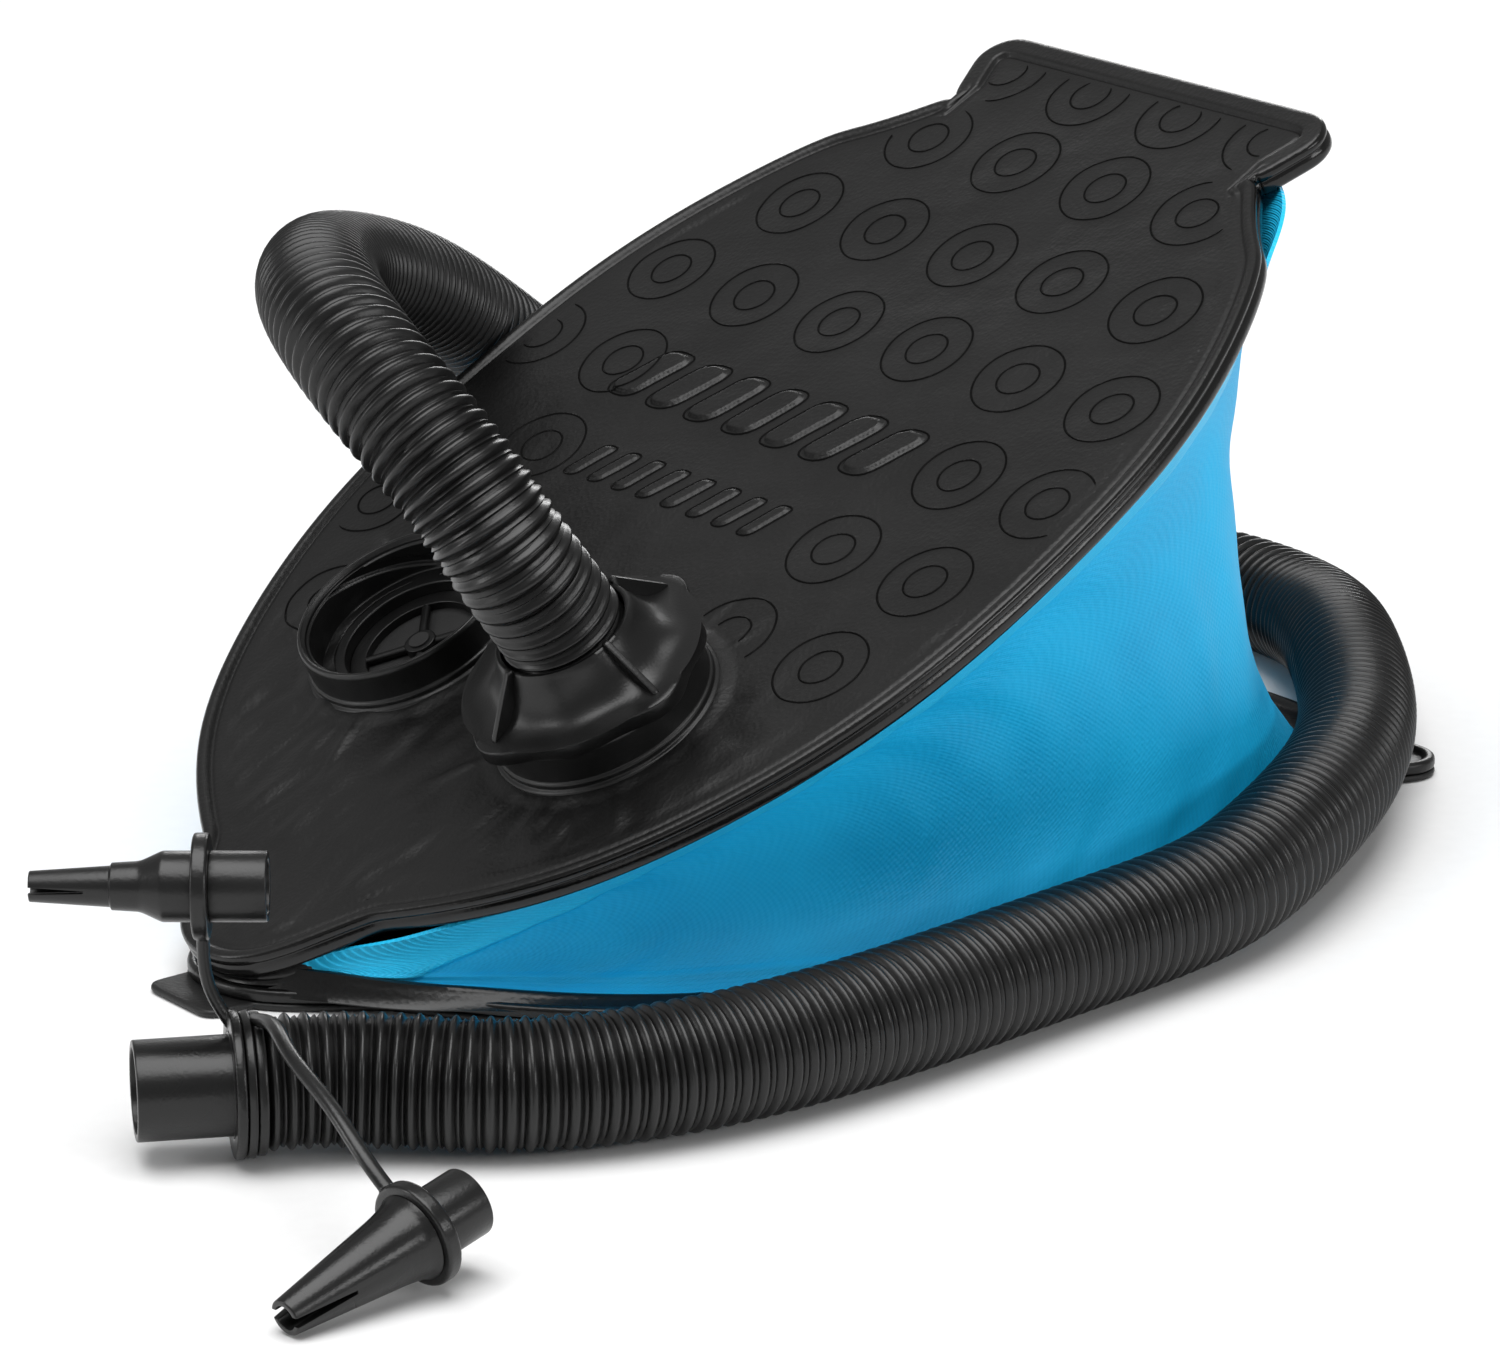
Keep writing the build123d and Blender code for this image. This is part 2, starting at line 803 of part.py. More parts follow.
with BuildPart() as hose_outlet:
    flange_low = tether_thickness
    flange_high = flange_low + outlet_flange_thickness
    barb_end = fittings_length + 8
    barb_r = outlet_r - 0.4
    with BuildSketch(outlet_profile()):
        with BuildLine():
            Polyline(
                (outlet_bore_r + 1.9, -outlet_length),
                (outlet_r, -outlet_length),
                (outlet_r, 0),
                (tether_seat_r, 0),
                (tether_seat_r, flange_low),
                (outlet_flange_r, flange_low),
                (outlet_flange_r, flange_high),
                (tether_seat_r, flange_high),
                (tether_seat_r, fittings_length),
                (barb_r, fittings_length),
                (barb_r, barb_end - 2),
                (barb_r - 1, barb_end),
                (outlet_bore_r, barb_end),
                (outlet_bore_r, 2 - outlet_length),
                close=True,
            )
        make_face()
    revolve(axis=Axis(outlet_centre, outlet_axis))
finish(hose_outlet, "hose_outlet")


def tether(ring_start, ring_r, strap, eyelet_centre, nozzle_axis, name):
    """Ring round the outlet, strap, and eyelet that holds a nozzle by its neck."""
    ring_plane = Plane(
        origin=outlet_centre + outlet_axis * ring_start,
        x_dir=up,
        z_dir=outlet_axis,
    )
    with BuildPart() as strip:
        with BuildLine():
            strap_line = Spline(*strap)
        strap_way = strap_line % 0
        strap_plane = Plane(
            origin=strap_line @ 0,
            x_dir=strap_way.cross(outlet_axis),
            z_dir=strap_way,
        )
        with BuildSketch(strap_plane):
            Ellipse(strap_half_width, strap_half_thickness)
        sweep(path=strap_line)
        with BuildSketch(ring_plane):
            Circle(ring_r)
        extrude(amount=tether_thickness - 0.1)
        with BuildSketch(ring_plane.offset(-4)):
            Circle(tether_seat_r + fit_gap)
        extrude(amount=8 + tether_thickness, mode=Mode.SUBTRACT)
        eyelet_plane = Plane(
            origin=eyelet_centre - nozzle_axis * eyelet_thickness / 2,
            z_dir=nozzle_axis,
        )
        with BuildSketch(eyelet_plane):
            Circle(eyelet_r)
        extrude(amount=eyelet_thickness)
        with BuildSketch(eyelet_plane.offset(-4)):
            Circle(nozzle_neck_r + 0.06)
        extrude(amount=8 + eyelet_thickness, mode=Mode.SUBTRACT)
    finish(strip, name)


def nozzle(centre, axis, radial, outside, slot_length, name):
    """Stepped adapter nozzle: plug on one side of the eyelet, tapered tip on the other."""
    half = eyelet_thickness / 2 + 0.06
    tip = outside[-1][1]
    with BuildPart() as body:
        with BuildSketch(turning_plane(centre, axis, radial)):
            with BuildLine():
                Polyline(
                    (nozzle_r - 1.4, -half - 10.4),
                    (nozzle_r, -half - 10.4),
                    (nozzle_r, -half),
                    (nozzle_neck_r, -half),
                    (nozzle_neck_r, half),
                    *outside,
                    (1.7, tip),
                    (2.3, half + 14),
                    (nozzle_r - 1.6, half + 4),
                    close=True,
                )
            make_face()
        revolve(axis=Axis(centre, axis))
        with BuildSketch(turning_plane(centre, axis, radial)):
            with BuildLine():
                Polyline(
                    (0, tip - slot_length),
                    (6, tip - slot_length + 3),
                    (6, tip + 1),
                    (0, tip + 1),
                    close=True,
                )
            make_face()
        extrude(amount=0.9, both=True, mode=Mode.SUBTRACT)
    finish(body, name)


nozzle_a_centre = Vector(-46.3 - half_length, -65.4, 50.8)
nozzle_a_axis = Vector(-0.784, 0.621, 0).normalized()
nozzle_b_centre = Vector(-53.7 - half_length, -141.3, 10.3)
nozzle_b_axis = Vector(-0.971, -0.099, -0.218).normalized()
nozzle_b_radial = nozzle_b_axis.cross(up).normalized()

step = eyelet_thickness / 2 + 0.06
tether(
    0,
    outlet_flange_r,
    [
        outlet_centre + outlet_axis * 0.7 + Vector(1.6, 2.9, 10.6),
        outlet_centre + Vector(-0.6, 4.9, 17.5),
        nozzle_a_centre - up * (eyelet_r - 1),
    ],
    nozzle_a_centre,
    nozzle_a_axis,
    "tether_a",
)
tether(
    tether_thickness + outlet_flange_thickness + 0.1,
    outlet_flange_r - 0.5,
    [
        outlet_centre + outlet_axis * 4.75 + up * 12.4,
        (-44.5 - half_length, -84, 29.5),
        (-51.0 - half_length, -99.5, 29.8),
        (-54.6 - half_length, -117.5, 26.0),
        (-55.6 - half_length, -130.5, 19.4),
        nozzle_b_centre + Vector(-1.4, 5.9, 5.8),
    ],
    nozzle_b_centre,
    nozzle_b_axis,
    "tether_b",
)
nozzle(
    nozzle_a_centre,
    nozzle_a_axis,
    nozzle_a_axis.cross(up).normalized(),
    [
        (nozzle_r, step),
        (nozzle_r, step + 5.5),
        (4.2, step + 14.5),
        (3.7, step + 14.6),
        (2.8, step + 29.5),
    ],
    9.0,
    "nozzle_a",
)
nozzle(
    nozzle_b_centre,
    nozzle_b_axis,
    nozzle_b_radial,
    [
        (8.2, step),
        (7.3, step + 1.6),
        (6.6, step + 5.0),
        (3.4, step + 29.5),
    ],
    12.0,
    "nozzle_b",
)
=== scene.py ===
import json
from math import cos, pi, radians, sin

import bmesh
import bpy
import numpy as np
from mathutils import Vector, geometry
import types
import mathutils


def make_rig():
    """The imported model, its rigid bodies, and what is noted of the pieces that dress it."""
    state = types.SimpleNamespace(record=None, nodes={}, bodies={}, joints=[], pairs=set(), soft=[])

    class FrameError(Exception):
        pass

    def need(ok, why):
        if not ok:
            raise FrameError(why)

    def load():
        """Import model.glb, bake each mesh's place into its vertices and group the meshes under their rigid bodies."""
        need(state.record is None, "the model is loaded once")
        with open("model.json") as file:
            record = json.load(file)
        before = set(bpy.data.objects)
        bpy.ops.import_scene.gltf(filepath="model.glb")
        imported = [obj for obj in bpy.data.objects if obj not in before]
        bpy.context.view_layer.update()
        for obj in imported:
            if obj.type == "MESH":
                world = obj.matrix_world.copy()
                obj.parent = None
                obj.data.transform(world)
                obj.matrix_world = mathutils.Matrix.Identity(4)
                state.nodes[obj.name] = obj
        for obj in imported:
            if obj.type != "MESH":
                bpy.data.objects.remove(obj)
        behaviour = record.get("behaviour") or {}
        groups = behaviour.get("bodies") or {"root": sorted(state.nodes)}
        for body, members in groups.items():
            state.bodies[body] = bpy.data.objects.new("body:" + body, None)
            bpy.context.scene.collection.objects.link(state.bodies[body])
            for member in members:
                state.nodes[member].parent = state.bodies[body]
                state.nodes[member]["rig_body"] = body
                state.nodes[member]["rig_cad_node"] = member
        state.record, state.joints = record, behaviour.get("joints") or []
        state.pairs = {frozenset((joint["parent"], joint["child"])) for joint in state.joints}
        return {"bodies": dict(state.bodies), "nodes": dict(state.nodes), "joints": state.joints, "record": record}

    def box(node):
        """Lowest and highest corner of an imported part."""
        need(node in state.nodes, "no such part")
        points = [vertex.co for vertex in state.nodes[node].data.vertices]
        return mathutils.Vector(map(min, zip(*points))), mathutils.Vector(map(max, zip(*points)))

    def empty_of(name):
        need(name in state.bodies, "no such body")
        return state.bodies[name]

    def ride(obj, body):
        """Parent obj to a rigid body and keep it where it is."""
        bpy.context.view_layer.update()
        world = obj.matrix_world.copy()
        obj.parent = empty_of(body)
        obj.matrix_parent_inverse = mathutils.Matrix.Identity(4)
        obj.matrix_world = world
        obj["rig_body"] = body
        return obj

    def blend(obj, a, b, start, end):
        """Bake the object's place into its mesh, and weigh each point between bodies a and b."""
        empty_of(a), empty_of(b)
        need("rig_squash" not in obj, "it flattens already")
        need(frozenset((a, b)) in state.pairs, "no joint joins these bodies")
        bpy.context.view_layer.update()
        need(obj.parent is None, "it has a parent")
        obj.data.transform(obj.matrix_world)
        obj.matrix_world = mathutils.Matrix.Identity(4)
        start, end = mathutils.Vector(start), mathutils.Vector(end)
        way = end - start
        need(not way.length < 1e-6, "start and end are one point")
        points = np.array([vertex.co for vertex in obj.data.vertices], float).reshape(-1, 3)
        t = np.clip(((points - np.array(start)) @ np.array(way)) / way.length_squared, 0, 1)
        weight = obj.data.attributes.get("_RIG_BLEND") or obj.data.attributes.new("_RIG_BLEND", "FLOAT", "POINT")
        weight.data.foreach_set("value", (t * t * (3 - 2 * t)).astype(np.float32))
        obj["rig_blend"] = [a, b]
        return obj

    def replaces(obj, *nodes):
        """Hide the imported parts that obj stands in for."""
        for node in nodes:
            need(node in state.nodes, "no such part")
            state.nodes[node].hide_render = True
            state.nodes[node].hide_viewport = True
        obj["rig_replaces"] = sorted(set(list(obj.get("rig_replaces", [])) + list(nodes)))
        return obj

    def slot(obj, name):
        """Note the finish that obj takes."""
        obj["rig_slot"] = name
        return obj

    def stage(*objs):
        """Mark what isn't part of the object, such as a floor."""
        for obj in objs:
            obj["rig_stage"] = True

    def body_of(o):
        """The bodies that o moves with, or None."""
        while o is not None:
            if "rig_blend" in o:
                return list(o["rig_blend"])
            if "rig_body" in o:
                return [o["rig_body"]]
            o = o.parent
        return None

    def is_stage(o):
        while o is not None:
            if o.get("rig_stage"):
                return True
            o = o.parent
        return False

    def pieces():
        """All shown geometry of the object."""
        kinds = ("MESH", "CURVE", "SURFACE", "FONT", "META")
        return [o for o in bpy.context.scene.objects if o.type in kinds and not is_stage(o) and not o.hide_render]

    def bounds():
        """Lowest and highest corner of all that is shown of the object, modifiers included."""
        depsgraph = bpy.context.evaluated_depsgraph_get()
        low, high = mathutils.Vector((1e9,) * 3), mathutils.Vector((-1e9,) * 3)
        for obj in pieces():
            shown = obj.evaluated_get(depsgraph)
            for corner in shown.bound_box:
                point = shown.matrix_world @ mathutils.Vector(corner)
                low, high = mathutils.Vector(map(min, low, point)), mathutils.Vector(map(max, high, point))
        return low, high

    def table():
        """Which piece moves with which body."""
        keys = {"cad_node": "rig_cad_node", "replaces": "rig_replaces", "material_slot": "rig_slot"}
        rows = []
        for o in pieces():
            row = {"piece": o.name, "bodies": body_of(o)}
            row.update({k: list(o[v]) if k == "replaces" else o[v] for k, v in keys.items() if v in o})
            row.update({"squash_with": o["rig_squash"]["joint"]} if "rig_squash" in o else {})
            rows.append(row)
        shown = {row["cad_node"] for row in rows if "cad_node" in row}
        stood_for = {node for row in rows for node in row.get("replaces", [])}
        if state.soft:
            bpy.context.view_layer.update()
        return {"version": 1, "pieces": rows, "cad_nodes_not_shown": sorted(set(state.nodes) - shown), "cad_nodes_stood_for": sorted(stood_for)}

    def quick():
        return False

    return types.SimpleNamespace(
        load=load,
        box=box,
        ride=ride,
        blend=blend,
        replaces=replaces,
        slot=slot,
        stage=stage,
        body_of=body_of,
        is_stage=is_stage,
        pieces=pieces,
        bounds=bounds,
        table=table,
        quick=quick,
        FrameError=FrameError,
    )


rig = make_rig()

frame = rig.load()
cad_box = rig.bounds()

# Looks of the two-port foot bellows pump. Shapes are worked out in millimetres in the packed
# model's own frame, and turned into metres as each mesh is made.

# ---- directions and places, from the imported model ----
mm = 0.001
joints = {joint["name"]: joint for joint in frame["joints"]}
mounts = {mount["name"]: mount for mount in frame["record"]["mounts"]}


def place_of(row):
    return np.array(row["pos_m"], float) / mm


up = np.array([0.0, 0.0, 1.0])
across = np.array([0.0, 1.0, 0.0])
normal = np.array(joints["inflate_valve_lift"]["axis"], float)
along = np.cross(across, normal)
hinge = place_of(joints["treadle_hinge"])
open_angle = np.arcsin(-normal[0])
treadle_origin = hinge - along * hinge[0]
half_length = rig.box("base_skin")[1].x / mm

treadle_top = 3.67
treadle_thickness = 4.8
flange_top = 3.0
sole_top = 1.5
inflate_port = place_of(joints["collar_turn"])
deflate_port = place_of(mounts["deflate_port"])
port_x = (deflate_port - treadle_origin) @ along
port_y = deflate_port[1]
outlet_centre = place_of(joints["tether_a_swing"])
outlet_axis = -np.array(joints["tether_a_swing"]["axis"], float)
centre_of_mouth = outlet_centre - outlet_axis


def on_treadle(x, y, height):
    """Places on the treadle: x and y as on the base, height above the treadle's top."""
    x, y, height = np.broadcast_arrays(x, y, height)
    return (
        treadle_origin
        + x[..., None] * along
        + y[..., None] * across
        + (treadle_top + height)[..., None] * normal
    )


def on_base(x, y, height):
    """Places on the base, height above the floor."""
    x, y, height = np.broadcast_arrays(x, y, height)
    return np.stack([x, y, height], axis=-1).astype(float)


def smooth_step(value, low, high):
    """0 below low, 1 above high, and a smooth ramp between."""
    t = np.clip((value - low) / (high - low), 0, 1)
    return t * t * (3 - 2 * t)


# ---- curves ----
def spline(points, count):
    """Smooth curve through the points, as count places evenly spaced along it."""
    p = np.array(points, float)
    gap = np.linalg.norm(np.diff(p, axis=0), axis=1)
    n = len(p)
    system = np.zeros((n, n))
    target = np.zeros_like(p)
    system[0, 0] = system[-1, -1] = 1
    for i in range(1, n - 1):
        system[i, i - 1 : i + 2] = gap[i - 1], 2 * (gap[i - 1] + gap[i]), gap[i]
        target[i] = 6 * ((p[i + 1] - p[i]) / gap[i] - (p[i] - p[i - 1]) / gap[i - 1])
    bend = np.linalg.solve(system, target)
    knots = np.concatenate([[0], np.cumsum(gap)])
    at = np.linspace(0, knots[-1], 8 * count)
    i = np.clip(np.searchsorted(knots, at, side="right") - 1, 0, n - 2)
    h = gap[i][:, None]
    b = ((at - knots[i]) / gap[i])[:, None]
    a = 1 - b
    dense = (
        a * p[i]
        + b * p[i + 1]
        + ((a**3 - a) * bend[i] + (b**3 - b) * bend[i + 1]) * h * h / 6
    )
    return evenly(dense, count)


def evenly(points, count):
    """The same line with count places evenly spaced along it."""
    far = np.concatenate([[0], np.cumsum(np.linalg.norm(np.diff(points, axis=0), axis=1))])
    at = np.linspace(0, far[-1], count)
    return np.stack([np.interp(at, far, points[:, k]) for k in range(points.shape[1])], axis=1)


def directions(line):
    step = np.gradient(line, axis=0)
    return step / np.linalg.norm(step, axis=1)[:, None]


def rounded(corners, radius, steps=4, closed=True):
    """A flat outline with its corners rounded; a corner is (x, y) or (x, y, its own radius)."""
    out = []
    count = len(corners)
    for i, corner in enumerate(corners):
        here = np.array(corner[:2], float)
        if not closed and i in (0, count - 1):
            out.append(here)
            continue
        before = np.array(corners[i - 1][:2], float) - here
        after = np.array(corners[(i + 1) % count][:2], float) - here
        longest = 0.45 * min(np.linalg.norm(before), np.linalg.norm(after))
        cut = min(corner[2] if len(corner) > 2 else radius, longest)
        start = here + before / np.linalg.norm(before) * cut
        end = here + after / np.linalg.norm(after) * cut
        for k in range(steps + 1):
            t = k / steps
            out.append(start * (1 - t) ** 2 + 2 * here * t * (1 - t) + end * t * t)
    return np.array(out)


# ---- meshes ----
def mesh_object(name, points, faces, sharp_angle=40):
    """A shaded mesh from millimetre points."""
    mesh = bpy.data.meshes.new(name)
    mesh.from_pydata((np.asarray(points) * mm).tolist(), [], faces)
    mesh.validate()
    piece = bpy.data.objects.new(name, mesh)
    bpy.context.scene.collection.objects.link(piece)
    mesh.shade_smooth()
    mesh.set_sharp_from_angle(angle=radians(sharp_angle))
    return piece


def grid_faces(rows, columns, wrap_rows=False, wrap_columns=False, first=0):
    """Quads of a grid of points stored row by row."""
    faces = []
    for i in range(rows if wrap_rows else rows - 1):
        for j in range(columns if wrap_columns else columns - 1):
            i2, j2 = (i + 1) % rows, (j + 1) % columns
            faces.append(
                (
                    first + i * columns + j,
                    first + i * columns + j2,
                    first + i2 * columns + j2,
                    first + i2 * columns + j,
                )
            )
    return faces


def face_outwards(piece):
    """Turn every closed shell of a mesh the right way out."""
    shape = bmesh.new()
    shape.from_mesh(piece.data)
    bmesh.ops.recalc_face_normals(shape, faces=shape.faces)
    shape.to_mesh(piece.data)
    shape.free()


def lathe(name, profile, centre, axis, radial, count=96, closed=True, wave=None):
    """Turned shape: profile of (radius, distance along the axis); wave moves points in or out."""
    axis = np.array(axis, float) / np.linalg.norm(axis)
    radial = np.array(radial, float)
    radial = radial - axis * (radial @ axis)
    radial = radial / np.linalg.norm(radial)
    side = np.cross(axis, radial)
    turn = np.arange(count) * 2 * pi / count
    r = np.repeat(profile[:, 0][:, None], count, axis=1)
    h = np.repeat(profile[:, 1][:, None], count, axis=1)
    if wave is not None:
        r = r + wave(r, h, turn[None, :])
    points = (
        np.array(centre, float)
        + (r * np.cos(turn))[..., None] * radial
        + (r * np.sin(turn))[..., None] * side
        + h[..., None] * axis
    )
    faces = grid_faces(len(profile), count, wrap_rows=closed, wrap_columns=True)
    piece = mesh_object(name, points.reshape(-1, 3), faces)
    face_outwards(piece)
    return piece


def carried_frames(line):
    """Two directions square to the line at each place, carried along it without twist."""
    ahead = directions(line)
    first = np.cross(ahead[0], up if abs(ahead[0] @ up) < 0.9 else across)
    side = np.zeros_like(line)
    side[0] = first / np.linalg.norm(first)
    for i in range(1, len(line)):
        carried = side[i - 1] - ahead[i] * (side[i - 1] @ ahead[i])
        side[i] = carried / np.linalg.norm(carried)
    return side, np.cross(ahead, side)


def tube(name, line, width, height=None, count=24):
    """Closed bar with an oval section along a line; width and height may vary along it."""
    side, lift = carried_frames(line)
    width = np.broadcast_to(width, len(line))
    height = width if height is None else np.broadcast_to(height, len(line))
    turn = np.arange(count) * 2 * pi / count
    points = (
        line[:, None, :]
        + (width[:, None] * np.cos(turn))[..., None] * side[:, None, :]
        + (height[:, None] * np.sin(turn))[..., None] * lift[:, None, :]
    )
    faces = grid_faces(len(line), count, wrap_columns=True)
    faces.append(tuple(range(count)))
    faces.append(tuple(range((len(line) - 1) * count, len(line) * count)))
    piece = mesh_object(name, points.reshape(-1, 3), faces)
    face_outwards(piece)
    return piece


def join(name, parts):
    """One object from several."""
    shape = bmesh.new()
    for part in parts:
        shape.from_mesh(part.data)
        mesh = part.data
        bpy.data.objects.remove(part)
        bpy.data.meshes.remove(mesh)
    mesh = bpy.data.meshes.new(name)
    shape.to_mesh(mesh)
    shape.free()
    piece = bpy.data.objects.new(name, mesh)
    bpy.context.scene.collection.objects.link(piece)
    return piece


def apply_modifiers(piece):
    """Bake an object's modifiers into its mesh."""
    graph = bpy.context.evaluated_depsgraph_get()
    baked = bpy.data.meshes.new_from_object(piece.evaluated_get(graph))
    piece.modifiers.clear()
    old = piece.data
    piece.data = baked
    bpy.data.meshes.remove(old)


def fuse(name, parts, voxel, smoothing=4):
    """Overlapping parts melted into one moulded skin with soft inside corners."""
    piece = join(name, parts)
    remesh = piece.modifiers.new("fuse", "REMESH")
    remesh.mode = "VOXEL"
    remesh.voxel_size = voxel * mm
    relax = piece.modifiers.new("relax", "SMOOTH")
    relax.factor = 0.5
    relax.iterations = smoothing
    apply_modifiers(piece)
    piece.data.shade_smooth()
    return piece


# ---- outline of the plates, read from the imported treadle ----
def plate_outline(count):
    """The treadle's outer edge as count (x, y) places, and the inward direction at each."""
    mesh = frame["nodes"]["treadle_skin"].data
    co = np.array([v.co for v in mesh.vertices], float) / mm - treadle_origin
    flat = np.stack([co @ along, co @ across], axis=1)
    height = co @ normal
    rim = set()
    for polygon in mesh.polygons:
        middle = flat[list(polygon.vertices)].mean(axis=0)
        facing = np.array(polygon.normal, float)
        outward = facing @ along * middle[0] + facing @ across * middle[1]
        near_port = np.hypot(middle[0] - port_x, abs(middle[1]) - port_y) < 30
        if abs(facing @ normal) < 0.2 and outward > 0 and not near_port:
            rim.update(polygon.vertices)
    rim = np.array(sorted(rim))
    rim = rim[(height[rim] > height.max() - 0.01) & (flat[rim, 1] > 0)]
    left = flat[rim]
    left = left[np.argsort(left[:, 0])]
    left = left[np.linalg.norm(np.diff(left, axis=0, prepend=[[0, 0]]), axis=1) > 0.03]
    loop = np.concatenate([left, left[::-1] * [1, -1], left[:1]])
    loop = evenly(loop, count + 1)[:-1]
    turned = np.roll(loop, -1, axis=0)
    if (loop[:, 0] * turned[:, 1] - loop[:, 1] * turned[:, 0]).sum() < 0:
        loop = loop[::-1]
    for _ in range(6):
        loop = (np.roll(loop, 1, axis=0) + 2 * loop + np.roll(loop, -1, axis=0)) / 4
    step = np.roll(loop, -1, axis=0) - np.roll(loop, 1, axis=0)
    step = step / np.linalg.norm(step, axis=1)[:, None]
    return loop, np.stack([-step[:, 1], step[:, 0]], axis=1)


def inset_loop(loop, inwards, inset):
    """The loop moved inwards; where a tight corner would fold over, it is cut straight across."""
    moved = loop + inwards * inset
    gap = np.linalg.norm(moved[:, None, :] - loop[None, :, :], axis=2).min(axis=1)
    good = gap > inset - 0.03
    good &= np.roll(good, 1) & np.roll(good, -1)
    count = len(loop)
    at = np.flatnonzero(good)
    wrapped = np.concatenate([at - count, at, at + count])
    for k in range(2):
        moved[:, k] = np.interp(np.arange(count), wrapped, np.tile(moved[at, k], 3))
    return moved


edge_count = 1100
edge, inward = plate_outline(edge_count)


def fill(loop, spacing, holes=()):
    """Fills a closed flat loop with small triangles, leaving round holes of (x, y, radius) open.

    Gives the points, the triangles and each point's distance from the loop. The loop's own points
    come first, then hole_count points for each hole.
    """
    rims = [ring_points(x, y, radius) for x, y, radius in holes]
    low, high = loop.min(axis=0), loop.max(axis=0)
    rows = np.arange(low[1], high[1], spacing * 0.866)
    columns = np.arange(low[0], high[0], spacing)
    x = columns[None, :] + (np.arange(len(rows)) % 2)[:, None] * spacing / 2
    grid = np.stack([x, np.repeat(rows[:, None], len(columns), axis=1)], axis=-1).reshape(-1, 2)
    inside = np.zeros(len(grid), bool)
    for start, end in zip(loop, np.roll(loop, -1, axis=0)):
        if start[1] != end[1]:
            between = (start[1] > grid[:, 1]) != (end[1] > grid[:, 1])
            cross = start[0] + (grid[:, 1] - start[1]) * (end[0] - start[0]) / (end[1] - start[1])
            inside ^= between & (grid[:, 0] < cross)
    for x, y, radius in holes:
        inside &= np.hypot(grid[:, 0] - x, grid[:, 1] - y) > radius + 0.6 * spacing
    grid = grid[inside]
    near = np.full(len(grid), 1e9)
    for part in np.array_split(np.arange(len(grid)), 1 + len(grid) // 4000):
        gap = grid[part][:, None, :] - loop[None, ::2, :]
        near[part] = np.sqrt((gap**2).sum(axis=2)).min(axis=1)
    keep = near > 0.6 * spacing
    flat = np.concatenate([loop, *rims, grid[keep]])
    near = np.concatenate([np.zeros(len(loop)), np.full(hole_count * len(rims), 50.0), near[keep]])
    fixed = [(i, (i + 1) % len(loop)) for i in range(len(loop))]
    for k in range(len(rims)):
        first = len(loop) + k * hole_count
        fixed += [(first + i, first + (i + 1) % hole_count) for i in range(hole_count)]
    places, _, triangles, *_ = geometry.delaunay_2d_cdt(
        [Vector(p) for p in flat.tolist()], fixed, [], 1, 1e-6
    )
    near = np.concatenate([near, np.zeros(len(places) - len(flat))])
    flat = np.array(places)
    triangles = np.array([tuple(t) for t in triangles])
    middle = flat[triangles].mean(axis=1)
    for x, y, radius in holes:
        clear = np.hypot(middle[:, 0] - x, middle[:, 1] - y) > radius * 0.995
        triangles, middle = triangles[clear], middle[clear]
    return flat, triangles, near


hole_count = 72


def ring_points(x, y, radius):
    turn = np.arange(hole_count) * 2 * pi / hole_count
    return np.stack([x + radius * np.cos(turn), y + radius * np.sin(turn)], axis=1)


def plate(name, loop, inwards, rim, place, top, under, holes=(), top_grain=3.0):
    """Moulded plate with a shaped rim, a relief on top and a flat underside.

    rim lists (distance in from the edge, height along the edge) from the underside round to the
    top; top gives the height inside the rim from x, y and the distance from the rim.
    """
    rows = [place(*inset_loop(loop, inwards, inset).T, height) for inset, height in rim[:-1]]
    last_inset, last_height = rim[-1]
    inner = inset_loop(loop, inwards, last_inset)
    flat, triangles, near = fill(inner, top_grain, holes)
    height = top(flat[:, 0], flat[:, 1], near)
    count = len(loop)
    height[:count] = last_height
    surface = place(flat[:, 0], flat[:, 1], height)
    points = np.concatenate([*rows, surface])
    strip = len(rows) * count
    faces = grid_faces(len(rows) + 1, count, wrap_columns=True)
    faces += (triangles + strip).tolist()
    inner = inset_loop(loop, inwards, rim[0][0])
    flat, triangles, _ = fill(inner, 4.0, holes)
    base = len(points)
    below = place(flat[:, 0], flat[:, 1], np.full(len(flat), under))
    points = np.concatenate([points, below[count:]])
    renumber = np.concatenate([np.arange(count), base + np.arange(len(flat) - count)])
    faces += renumber[triangles][:, ::-1].tolist()
    for k in range(len(holes)):
        upper = strip + count + k * hole_count
        lower = base + k * hole_count
        for i in range(hole_count):
            j = (i + 1) % hole_count
            faces.append((upper + i, upper + j, lower + j, lower + i))
    piece = mesh_object(name, points, faces, sharp_angle=60)
    face_outwards(piece)
    return piece


# ---- relief of the treadle's skin ----
def soft_noise(x, y, scale, seed, stretch=(1.0, 1.0), count=28):
    """Smooth random waves of about that wavelength, between -1 and 1."""
    draw = np.random.default_rng(seed)
    total = np.zeros_like(x, dtype=float)
    for _ in range(count):
        heading = draw.uniform(0, 2 * pi)
        pitch = scale * draw.uniform(0.6, 1.6)
        shift = draw.uniform(0, 2 * pi)
        total += np.sin(
            2 * pi / pitch * (x * cos(heading) / stretch[0] + y * sin(heading) / stretch[1]) + shift
        )
    return total / (1.6 * count**0.5)


def box_distance(x, y, half_x, half_y, corner):
    """Distance outside a rounded box at the origin, negative inside it."""
    over_x = np.abs(x) - half_x + corner
    over_y = np.abs(y) - half_y + corner
    outside = np.hypot(np.maximum(over_x, 0), np.maximum(over_y, 0))
    return outside + np.minimum(np.maximum(over_x, over_y), 0) - corner


